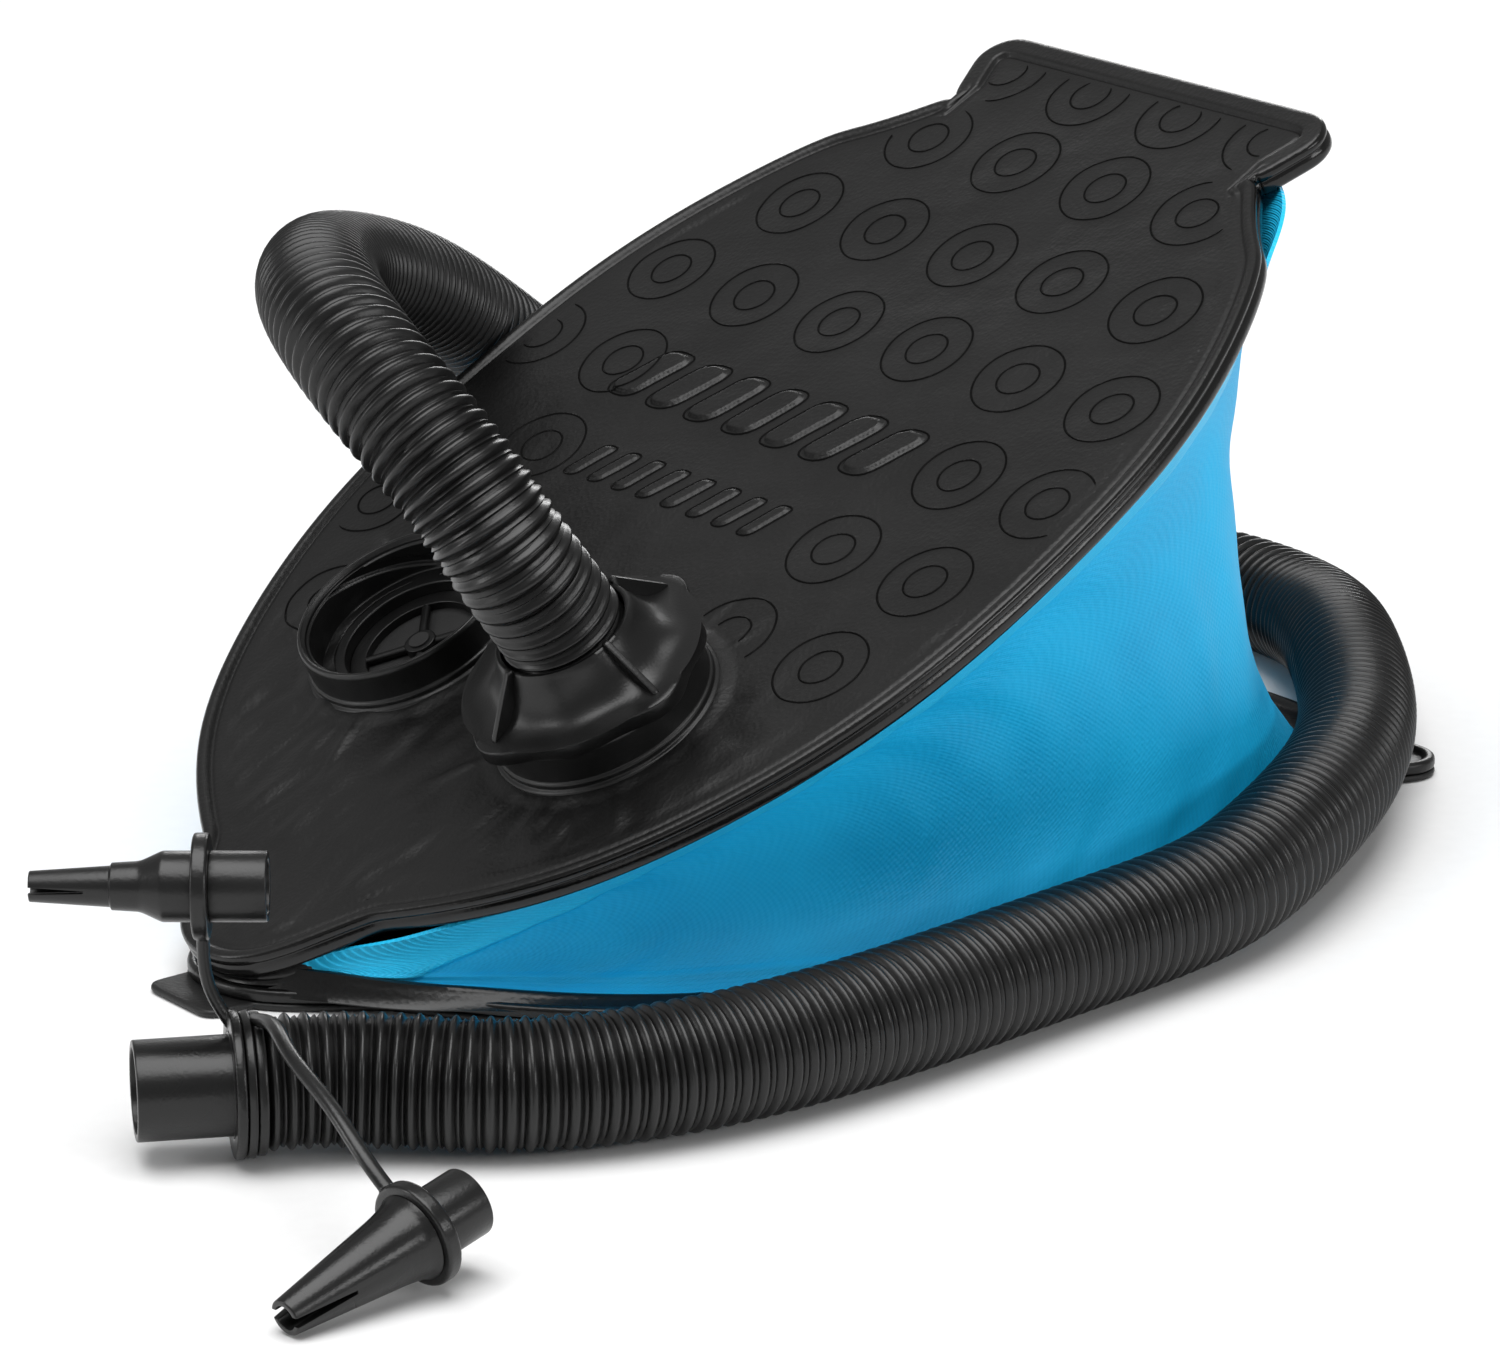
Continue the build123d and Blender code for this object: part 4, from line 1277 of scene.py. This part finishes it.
def cup(side, name, slot_name):
    """Threaded cup with a stepped foot and a bevelled rim."""
    outside = [
        (14.0, -5.2, 0.1),
        (17.5, -5.2, 0.3),
        (17.5, -0.4, 0.1),
        (24.0, -0.4, 0.1),
        (24.0, 0.9, 0.45),
        (23.1, 1.3, 0.2),
        (23.1, 2.3, 0.45),
        (22.55, 2.7, 0.25),
        (22.5, 8.7, 0.4),
        (22.1, 9.5, 0.35),
        (21.5, 9.5, 0.25),
        (20.75, 8.7, 0.2),
        (20.7, 8.1, 0.15),
        (20.2, 7.9, 0.15),
    ]
    inner_wall = [(20.2, h, 0.01) for h in np.linspace(7.6, 1.8, 34)]
    bottom = [
        (20.2, 1.0, 0.5),
        (15.5, 1.0, 0.4),
        (15.5, -3.4, 0.1),
        (14.0, -3.4, 0.2),
    ]
    profile = rounded(outside + inner_wall + bottom, 0.3, steps=3)
    centre = on_treadle(np.array(port_x), np.array(side * abs(port_y)), np.array(0.0))
    piece = lathe(name, profile, centre, normal, along, 180, wave=thread_wave)
    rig.ride(piece, "treadle")
    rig.replaces(piece, slot_name)
    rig.slot(piece, "port_plastic")
    return piece


def cage(side, name, node):
    """Spoked valve disc: an outer ring, a hub and four spokes, moulded in one."""
    centre = on_treadle(np.array(port_x), np.array(side * abs(port_y)), np.array(0.0))
    low, high = -3.4, -1.5
    ring = rounded([(12.0, low), (15.45, low), (15.45, high), (12.0, high)], 0.3)
    hub = rounded([(1.25, low), (3.4, low), (3.4, high + 0.3), (1.25, high + 0.3)], 0.3)
    parts = [
        lathe(name + "_ring", ring, centre, normal, along, 96),
        lathe(name + "_hub", hub, centre, normal, along, 48),
    ]
    for quarter in range(4):
        turn = radians(45 + 90 * quarter)
        way = along * cos(turn) + across * sin(turn)
        middle = centre + normal * (low + high) / 2
        line = middle + way * np.linspace(2.6, 12.8, 12)[:, None]
        parts.append(tube(f"{name}_spoke_{quarter}", line, 1.0, 0.92, count=12))
    piece = join(name, parts)
    piece.data.shade_smooth()
    piece.data.set_sharp_from_angle(angle=radians(50))
    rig.ride(piece, "treadle")
    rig.replaces(piece, node)
    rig.slot(piece, "port_plastic")
    return piece


# ---- hose connector ----
collar_low = 9.8


def grip_radius(turn):
    return 25.2 + 0.9 * np.cos(4 * turn) + 0.9 * np.cos(8 * turn)


def connector():
    """Lobed collar with a hollow-sided cone, four fins and a threaded plug below."""
    turn = np.linspace(0, 2 * pi, 240, endpoint=False)
    grip = grip_radius(turn)
    reach = np.concatenate([np.linspace(14.3, 23.2, 34), np.linspace(23.4, 24.1, 3)])
    rows = []

    def add_row(radius, height):
        rows.append((np.broadcast_to(radius, turn.shape), np.broadcast_to(height, turn.shape)))

    for r, h in ((12.9, 19.5), (12.9, 21.9), (13.1, 22.35), (13.5, 22.5), (13.9, 22.42)):
        add_row(r, h)
    for r in reach:
        part = (r - 14.2) / (grip - 2.2 - 14.2)
        radius = 14.2 + part * (grip - 1.2 - 14.2)
        cone = 13.25 + (cone_top - 0.4 - 13.25) * np.clip(1 - part, 0, 1) ** 3.2
        rows.append((radius, cone))
    for out, down in ((0.85, 0.02), (1.05, 0.2), (1.1, 0.5), (1.1, 2.8), (0.9, 3.3), (0.3, 3.5), (-0.6, 3.5)):
        add_row(grip - 1.1 + out, 13.3 - down)
    for r, h in ((21.0, collar_low), (17.6, collar_low), (17.4, 10.1), (17.4, 13.0)):
        add_row(r, h)
    radius = np.array([row[0] for row in rows])
    height = np.array([row[1] for row in rows])
    centre = on_treadle(np.array(port_x), np.array(-abs(port_y)), np.array(0.0))
    points = (
        centre
        + (radius * np.cos(turn))[..., None] * along
        + (radius * np.sin(turn))[..., None] * across
        + height[..., None] * normal
    )
    faces = grid_faces(len(rows), len(turn), wrap_rows=True, wrap_columns=True)
    cap = mesh_object("collar_cap", points.reshape(-1, 3), faces)
    face_outwards(cap)
    plug = rounded([(17.4, 2.6), (20.0, 2.6), (20.0, 10.4), (17.4, 10.4)], 0.3)
    shoulder = rounded([(9.5, 4.6), (18.2, 4.6), (18.2, 6.3), (9.5, 6.3)], 0.3)
    parts = [
        cap,
        lathe("plug", plug, centre, normal, along, 120),
        lathe("shoulder", shoulder, centre, normal, along, 96),
        *[collar_fin(quarter * pi / 2, centre) for quarter in range(4)],
    ]
    piece = join("connector_cap", parts)
    piece.data.shade_smooth()
    piece.data.set_sharp_from_angle(angle=radians(45))
    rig.ride(piece, "collar")
    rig.replaces(piece, "connector_collar")
    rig.slot(piece, "port_plastic")
    return piece


def collar_fin(heading, centre):
    """One thin blade from the collar's neck out across its brim."""
    outline = rounded([(13.6, 12.9), (24.2, 12.9), (24.0, 13.7), (14.8, cone_top + 0.9), (13.6, cone_top + 0.9)], 0.5)
    middle = outline.mean(axis=0)
    out = np.cos(heading) * along + np.sin(heading) * across
    side = np.cross(normal, out)
    rows = []
    for shrink, off in ((0.96, -0.65), (1.0, -0.45), (1.0, 0.45), (0.96, 0.65)):
        flat = middle + (outline - middle) * shrink
        rows.append(centre + flat[:, :1] * out + flat[:, 1:] * normal + side * off)
    count = len(outline)
    faces = grid_faces(4, count, wrap_columns=True)
    faces += [tuple(range(count))[::-1], tuple(range(3 * count, 4 * count))]
    fin = mesh_object("fin", np.concatenate(rows), faces)
    face_outwards(fin)
    return fin


def cuff():
    """Flanged sleeve inside the hose, which the collar turns on."""
    profile = rounded(
        [
            (7.8, 2.3),
            (17.1, 2.3, 0.3),
            (17.1, 4.5, 0.5),
            (9.4, 4.5, 0.6),
            (9.4, 21.7, 0.3),
            (8.6, 22.5, 0.2),
            (7.8, 22.5, 0.2),
        ],
        0.3,
    )
    centre = on_treadle(np.array(port_x), np.array(-abs(port_y)), np.array(0.0))
    piece = lathe("hose_sleeve", profile, centre, normal, along, 96)
    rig.ride(piece, "cuff")
    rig.replaces(piece, "hose_cuff")
    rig.slot(piece, "nozzle_plastic")
    return piece


# ---- outlet, tethers and nozzles ----
outlet_length = 17.5
tether_thickness = 2.1


def outlet():
    """Smooth outlet tube with a thin wall, a bevelled mouth and a flange in front of the hose."""
    flange_low = tether_thickness
    flange_high = flange_low + 1.7
    profile = rounded(
        [
            (7.9, -outlet_length, 0.3),
            (9.3, -outlet_length, 0.45),
            (9.3, 0.0, 0.1),
            (9.7, 0.0, 0.1),
            (9.7, flange_low, 0.1),
            (13.2, flange_low, 0.5),
            (13.6, flange_high, 0.5),
            (9.7, flange_high, 0.1),
            (9.7, fittings_length, 0.1),
            (8.9, fittings_length, 0.1),
            (8.9, 11.9, 0.3),
            (7.9, 13.9, 0.2),
            (6.6, 13.9, 0.2),
            (6.6, -outlet_length + 6.5, 0.3),
            (7.6, -outlet_length + 5.5, 0.3),
        ],
        0.3,
    )
    piece = lathe("outlet", profile, centre_of_mouth, outlet_axis, up, 120)
    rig.ride(piece, "base")
    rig.replaces(piece, "hose_outlet")
    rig.slot(piece, "nozzle_plastic")
    return piece


def nozzle_place(name):
    joint = joints[name]
    return place_of(joint), np.array(joint["axis"], float)


eyelet_thickness = 3.0


def tether(name, node, body, start, ring_r, strap, joint):
    """Ring, strap and eyelet moulded in one piece."""
    centre, axis = nozzle_place(joint)
    voxel = 0.55 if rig.quick() else 0.26
    ring = rounded(
        [
            (9.8, start),
            (ring_r, start),
            (ring_r, start + tether_thickness - 0.1),
            (9.8, start + tether_thickness - 0.1),
        ],
        0.55,
    )
    half = eyelet_thickness / 2
    eyelet = rounded([(6.1, -half), (9.7, -half), (9.7, half), (6.1, half)], 0.6)
    line = spline(strap, 60)
    parts = [
        lathe(name + "_ring", ring, centre_of_mouth, outlet_axis, up, 96),
        lathe(name + "_eyelet", eyelet, centre, axis, up, 96),
        tube(name + "_strap", line, 1.55, 1.2, count=20),
    ]
    piece = fuse(name, parts, voxel, 3)
    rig.ride(piece, body)
    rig.replaces(piece, node)
    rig.slot(piece, "nozzle_plastic")
    return piece


def cut_slot(piece, centre, axis, wide, from_tip, half_gap, tip):
    """Cut the V slot across a nozzle's tip."""
    axis = np.array(axis, float)
    way = np.cross(axis, wide)
    way = way / np.linalg.norm(way)
    wide = np.array(wide, float) / np.linalg.norm(wide)
    corners = []
    for t, gap in ((from_tip, half_gap * 0.35), (-1.5, half_gap)):
        middle = centre + axis * (tip - t)
        for a, b in ((-1, -1), (1, -1), (1, 1), (-1, 1)):
            corners.append(middle + way * gap * a + wide * 9 * b)
    faces = [(0, 1, 2, 3), (7, 6, 5, 4), (0, 4, 5, 1), (1, 5, 6, 2), (2, 6, 7, 3), (3, 7, 4, 0)]
    cutter = mesh_object("cutter", corners, faces)
    face_outwards(cutter)
    cut = piece.modifiers.new("slot", "BOOLEAN")
    cut.operation = "DIFFERENCE"
    cut.solver = "EXACT"
    cut.object = cutter
    bevel = piece.modifiers.new("soften", "BEVEL")
    bevel.width = 0.12 * mm
    bevel.segments = 2
    bevel.limit_method = "ANGLE"
    bevel.angle_limit = radians(50)
    apply_modifiers(piece)
    bpy.data.objects.remove(cutter)


def nozzle(name, node, body, joint, outside, slot_depth, half_gap, wide):
    """Stepped adapter nozzle with a hollow plug and a slotted tip."""
    centre, axis = nozzle_place(joint)
    half = eyelet_thickness / 2 + 0.06
    tip = outside[-1][1]
    profile = rounded(
        [
            (5.0, -half - 10.4, 0.3),
            (6.45, -half - 10.4, 0.35),
            (6.45, -half, 0.1),
            (6.0, -half, 0.05),
            (6.0, half, 0.05),
            *outside,
            (outside[-1][0] - 1.1, tip, 0.2),
            (2.3, half + 14, 0.5),
            (4.6, half + 4, 0.5),
        ],
        0.3,
        steps=4,
    )
    piece = lathe(name, profile, centre, axis, wide, 96)
    cut_slot(piece, centre, axis, wide, slot_depth, half_gap, tip)
    piece.data.shade_smooth()
    piece.data.set_sharp_from_angle(angle=radians(40))
    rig.ride(piece, body)
    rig.replaces(piece, node)
    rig.slot(piece, "nozzle_plastic")
    return piece


def fittings():
    """The outlet with its two tethered nozzles."""
    outlet()
    a_centre, a_axis = nozzle_place("nozzle_a_spin")
    b_centre, b_axis = nozzle_place("nozzle_b_spin")
    half = eyelet_thickness / 2 + 0.06
    strap_a = [
        centre_of_mouth + outlet_axis * 0.7 + np.array([1.6, 2.9, 10.6]),
        centre_of_mouth + np.array([-0.6, 4.9, 17.5]),
        a_centre - up * 8.7,
    ]
    strap_b = [
        centre_of_mouth + outlet_axis * 4.75 + up * 12.4,
        (-44.5 - half_length, -84, 29.5),
        (-51.0 - half_length, -99.5, 29.8),
        (-54.6 - half_length, -117.5, 26.0),
        (-55.6 - half_length, -130.5, 19.4),
        b_centre + np.array([-1.4, 5.9, 5.8]),
    ]
    tether("tether_ring_a", "tether_a", "tether_a_body", 0.0, 13.6, strap_a, "nozzle_a_spin")
    tether("tether_ring_b", "tether_b", "tether_b_body", 3.9, 13.1, strap_b, "nozzle_b_spin")
    nozzle(
        "nozzle_stepped",
        "nozzle_a",
        "nozzle_a_body",
        "nozzle_a_spin",
        [
            (6.45, half, 0.1),
            (6.45, half + 5.5, 0.5),
            (4.6, half + 9.5, 0.8),
            (4.3, half + 14.6, 0.15),
            (3.75, half + 14.9, 0.15),
            (2.8, half + 29.5, 0.3),
        ],
        10.0,
        0.75,
        np.cross(a_axis, up),
    )
    nozzle(
        "nozzle_tapered",
        "nozzle_b",
        "nozzle_b_body",
        "nozzle_b_spin",
        [
            (8.2, half, 0.2),
            (7.4, half + 1.4, 0.9),
            (6.6, half + 5.0, 1.5),
            (3.4, half + 29.5, 0.35),
        ],
        12.5,
        1.0,
        np.cross(b_axis, up),
    )


# ---- materials ----
class Look:
    """Small helper that builds a node material."""

    def __init__(self, name):
        self.material = bpy.data.materials.new(name)
        self.material.use_nodes = True
        self.tree = self.material.node_tree
        self.surface = self.tree.nodes["Principled BSDF"]

    def node(self, kind, **values):
        """A node with its inputs set; a value can be a number, a colour or another node's output."""
        made = self.tree.nodes.new(kind)
        for name, value in values.items():
            if name in ("data_type", "operation", "feature", "attribute_name", "bands_direction", "blend_type"):
                setattr(made, name, value)
            else:
                self.put(made.inputs[name.replace("_", " ")], value)
        return made

    def put(self, socket, value):
        if hasattr(value, "is_output"):
            self.tree.links.new(value, socket)
        else:
            socket.default_value = value

    def sum_of(self, first, second, operation="ADD"):
        made = self.tree.nodes.new("ShaderNodeMath")
        made.operation = operation
        self.put(made.inputs[0], first)
        self.put(made.inputs[1], second)
        return made.outputs[0]

    def place(self):
        return self.node("ShaderNodeTexCoord").outputs["Object"]

    def noise(self, scale, detail=2.0, vector=None):
        vector = vector or self.place()
        made = self.node("ShaderNodeTexNoise", Vector=vector, Scale=scale, Detail=detail)
        return made.outputs["Fac"]

    def attribute(self, name):
        return self.node("ShaderNodeAttribute", attribute_name=name).outputs["Fac"]

    def span(self, value, low, high, out_low, out_high):
        """Map a value from one range to another."""
        made = self.tree.nodes.new("ShaderNodeMapRange")
        for socket, item in zip(made.inputs, (value, low, high, out_low, out_high)):
            self.put(socket, item)
        return made.outputs[0]

    def mixed(self, share, first, second):
        made = self.tree.nodes.new("ShaderNodeMix")
        made.data_type = "RGBA"
        self.put(made.inputs[0], share)
        self.put(made.inputs[6], first)
        self.put(made.inputs[7], second)
        return made.outputs[2]

    def bump(self, height, distance, strength=1.0):
        made = self.node("ShaderNodeBump", Height=height, Distance=distance, Strength=strength)
        self.put(self.surface.inputs["Normal"], made.outputs["Normal"])

    def finish(self, colour, roughness, metallic=0.0, specular=0.5):
        self.put(self.surface.inputs["Base Color"], colour)
        self.put(self.surface.inputs["Roughness"], roughness)
        self.put(self.surface.inputs["Metallic"], metallic)
        self.put(self.surface.inputs["Specular IOR Level"], specular)
        return self.material


def grey(value, warm=0.0):
    return (value * (1 + warm), value, value * (1 - warm), 1)


def skin_look():
    """Near-black moulded vinyl: fine leather grain, faint wear, a glossier bead, and painted shade on the fine lines,
    whose specular is cut so they read dark.
    """
    look = Look("skin_vinyl")
    grain = look.noise(1400, 3.0)
    cells = look.node("ShaderNodeTexVoronoi", Vector=look.place(), Scale=900.0).outputs["Distance"]
    wear = look.noise(28, 4.0)
    colour = look.mixed(wear, grey(0.0022, 0.02), grey(0.0048, 0.02))
    shine = look.attribute("shine")
    rough = look.span(wear, 0.3, 0.7, 0.36, 0.46)
    rough = look.sum_of(rough, look.sum_of(shine, 0.3, "MULTIPLY"), "SUBTRACT")
    quiet = look.sum_of(1.0, look.sum_of(shine, 0.85, "MULTIPLY"), "SUBTRACT")
    height = look.sum_of(look.sum_of(grain, cells), quiet, "MULTIPLY")
    look.bump(height, 0.0001, 0.5)
    # painted shade: the fine lines lose nearly all specular reflection, so they read as dark shaded grooves
    groove = look.attribute("groove")
    specular_with_painted_line_shade = look.sum_of(0.4, look.sum_of(groove, 0.37, "MULTIPLY"), "SUBTRACT")
    return look.finish(colour, rough, specular=specular_with_painted_line_shade)


def fabric_look():
    """Bright blue coated fabric with a fine plain weave; the weld under the treadle is paler."""
    look = Look("blue_fabric")
    round_wall = look.attribute("round_wall")
    height = look.attribute("above_base")
    weave_pitch = 1.4
    warp = look.sum_of(look.sum_of(round_wall, 2 * pi / weave_pitch, "MULTIPLY"), 0, "SINE")
    weft = look.sum_of(look.sum_of(height, 2 * pi / weave_pitch, "MULTIPLY"), 0, "SINE")
    weave = look.sum_of(warp, weft, "MULTIPLY")
    soft = look.noise(26, 3.0)
    fine = look.noise(900, 2.0)
    deep = (0.0, 0.40, 0.78, 1)
    bright = (0.001, 0.50, 0.92, 1)
    colour = look.mixed(look.span(soft, 0.35, 0.65, 0, 1), deep, bright)
    weld = look.span(look.attribute("below_rim"), weld_band - 0.4, weld_band + 0.4, 1.0, 0.0)
    strength = look.span(weld, 0.0, 1.0, 0.4, 1.0)
    thread = look.sum_of(look.span(weave, -1.0, 1.0, 0.0, 0.9), strength, "MULTIPLY")
    colour = look.mixed(thread, colour, (0.02, 0.60, 1.0, 1))
    colour = look.mixed(look.sum_of(weld, 0.45, "MULTIPLY"), colour, (0.03, 0.64, 1.0, 1))
    rough = look.span(soft, 0.3, 0.7, 0.48, 0.62)
    rough = look.sum_of(rough, look.sum_of(weld, 0.12, "MULTIPLY"), "SUBTRACT")
    threads = look.sum_of(look.sum_of(weave, strength, "MULTIPLY"), 0.6, "MULTIPLY")
    bumps = look.sum_of(look.sum_of(threads, fine), look.sum_of(weld, 2.5, "MULTIPLY"))
    look.bump(bumps, 0.00018, 0.8)
    return look.finish(colour, rough, specular=0.35)


def plastic_look(name, shade, rough_low, rough_high, grain, depth):
    """Moulded plastic with a fine grain, soft flow marks and a little dust in its gloss."""
    look = Look(name)
    flow = look.noise(35, 3.0)
    fine = look.noise(grain, 2.0)
    colour = look.mixed(flow, grey(shade * 0.8), grey(shade * 1.3))
    look.bump(fine, depth, 0.5)
    return look.finish(colour, look.span(flow, 0.3, 0.7, rough_low, rough_high), specular=0.45)


def metal_look(name, shade, grain):
    look = Look(name)
    streaks = look.noise(grain, 4.0)
    colour = look.mixed(streaks, grey(shade * 0.75, 0.01), grey(shade, 0.01))
    look.bump(streaks, 0.00004, 0.6)
    return look.finish(colour, look.span(streaks, 0.3, 0.7, 0.22, 0.42), metallic=1.0)


def board_look():
    """Brown fibre board with long pressed fibres."""
    look = Look("fibre_board")
    fibres = look.noise(700, 5.0)
    flecks = look.noise(130, 4.0)
    colour = look.mixed(flecks, (0.105, 0.062, 0.032, 1), (0.24, 0.155, 0.085, 1))
    look.bump(fibres, 0.0003, 0.7)
    return look.finish(colour, look.span(fibres, 0.3, 0.7, 0.7, 0.9), specular=0.2)


looks = {
    "skin": skin_look(),
    "fabric": fabric_look(),
    "sole": plastic_look("sole_rubber", 0.005, 0.45, 0.62, 1100, 0.0002),
    "hose_plastic": plastic_look("hose_plastic", 0.0035, 0.27, 0.4, 1600, 0.00006),
    "port_plastic": plastic_look("port_plastic", 0.0035, 0.3, 0.42, 1700, 0.00006),
    "nozzle_plastic": plastic_look("nozzle_plastic", 0.005, 0.26, 0.38, 1500, 0.00008),
    "seat_plastic": plastic_look("seat_plastic", 0.035, 0.4, 0.55, 1200, 0.0001),
    "valve_rubber": plastic_look("valve_rubber", 0.02, 0.55, 0.7, 1300, 0.0001),
    "spring_steel": metal_look("spring_steel", 0.42, 300),
    "screw_steel": metal_look("screw_steel", 0.6, 500),
    "board": board_look(),
}


def dress():
    """Give every shown piece the look of its material slot."""
    slots = {row["node"]: row["material_slot"] for row in frame["record"]["subparts"]}
    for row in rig.table()["pieces"]:
        slot = row.get("material_slot") or slots[row["cad_node"]]
        piece = bpy.data.objects[row["piece"]]
        piece.data.materials.clear()
        piece.data.materials.append(looks[slot])


# ---- the whole pump ----
treadle_cover()
fine_lines()
base_cover()
sole()
bellows()
nose_web()
nose_tuck()
spring()
hose()
cup(-1, "inflate_cup", "inflate_socket")
cup(1, "deflate_cup", "deflate_socket")
cage(-1, "inflate_cage", "inflate_valve_cage")
cage(1, "deflate_cage", "deflate_valve_cage")
connector()
cuff()
fittings()
dress()


# ---- studio ----
def floor():
    """Pale seamless floor."""
    size = 12.0
    mesh = bpy.data.meshes.new("floor")
    corners = [(-size, -size, 0), (size, -size, 0), (size, size, 0), (-size, size, 0)]
    mesh.from_pydata([(x, y, -0.0002) for x, y, _ in corners], [], [(0, 1, 2, 3)])
    piece = bpy.data.objects.new("floor", mesh)
    bpy.context.scene.collection.objects.link(piece)
    look = Look("paper")
    fibres = look.noise(260, 3.0)
    colour = look.mixed(fibres, (0.86, 0.86, 0.86, 1), (0.9, 0.9, 0.9, 1))
    look.bump(fibres, 0.0001, 0.2)
    piece.data.materials.append(look.finish(colour, 0.8, specular=0.1))
    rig.stage(piece)


def soft_light(name, place, target, size, power):
    light = bpy.data.lights.new(name, "AREA")
    light.shape = "RECTANGLE"
    light.size, light.size_y = size
    light.energy = power
    lamp = bpy.data.objects.new(name, light)
    lamp.location = place
    lamp.rotation_euler = (Vector(target) - Vector(place)).to_track_quat("-Z", "Y").to_euler()
    bpy.context.scene.collection.objects.link(lamp)


def studio():
    floor()
    world = bpy.data.worlds.new("studio")
    world.use_nodes = True
    world.node_tree.nodes["Background"].inputs["Color"].default_value = (1, 1, 1, 1)
    world.node_tree.nodes["Background"].inputs["Strength"].default_value = 0.32
    bpy.context.scene.world = world
    middle = (0, 0, 0.06)
    soft_light("top", (-0.5, -0.3, 2.4), middle, (2.2, 2.2), 66)
    soft_light("back", (1.5, 1.5, 0.8), middle, (1.2, 0.35), 12)
    soft_light("left", (-1.7, 0.9, 0.7), middle, (0.35, 0.9), 7)
    soft_light("front", (0.5, -1.9, 0.8), middle, (1.2, 0.3), 8)
    bpy.context.scene.view_settings.view_transform = "Standard"


def photo_camera():
    """Camera at the photograph's place, seeing the pump from in front of its left side."""
    place = Vector((-0.79956, -0.99768, 0.44944))
    target = Vector((-0.09046, -0.10314, 0.07894))
    camera = bpy.data.cameras.new("camera")
    camera.lens = 157.6
    camera.sensor_width = 36
    camera.clip_start = 0.05
    eye = bpy.data.objects.new("camera", camera)
    eye.location = place
    eye.rotation_euler = (target - place).to_track_quat("-Z", "Y").to_euler()
    bpy.context.scene.collection.objects.link(eye)
    bpy.context.scene.camera = eye


studio()
photo_camera()

with open("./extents.json", "w") as file:
    json.dump(
        {
            "cad": [[float(value) for value in corner] for corner in cad_box],
            "visual": [[float(value) for value in corner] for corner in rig.bounds()],
        },
        file,
    )
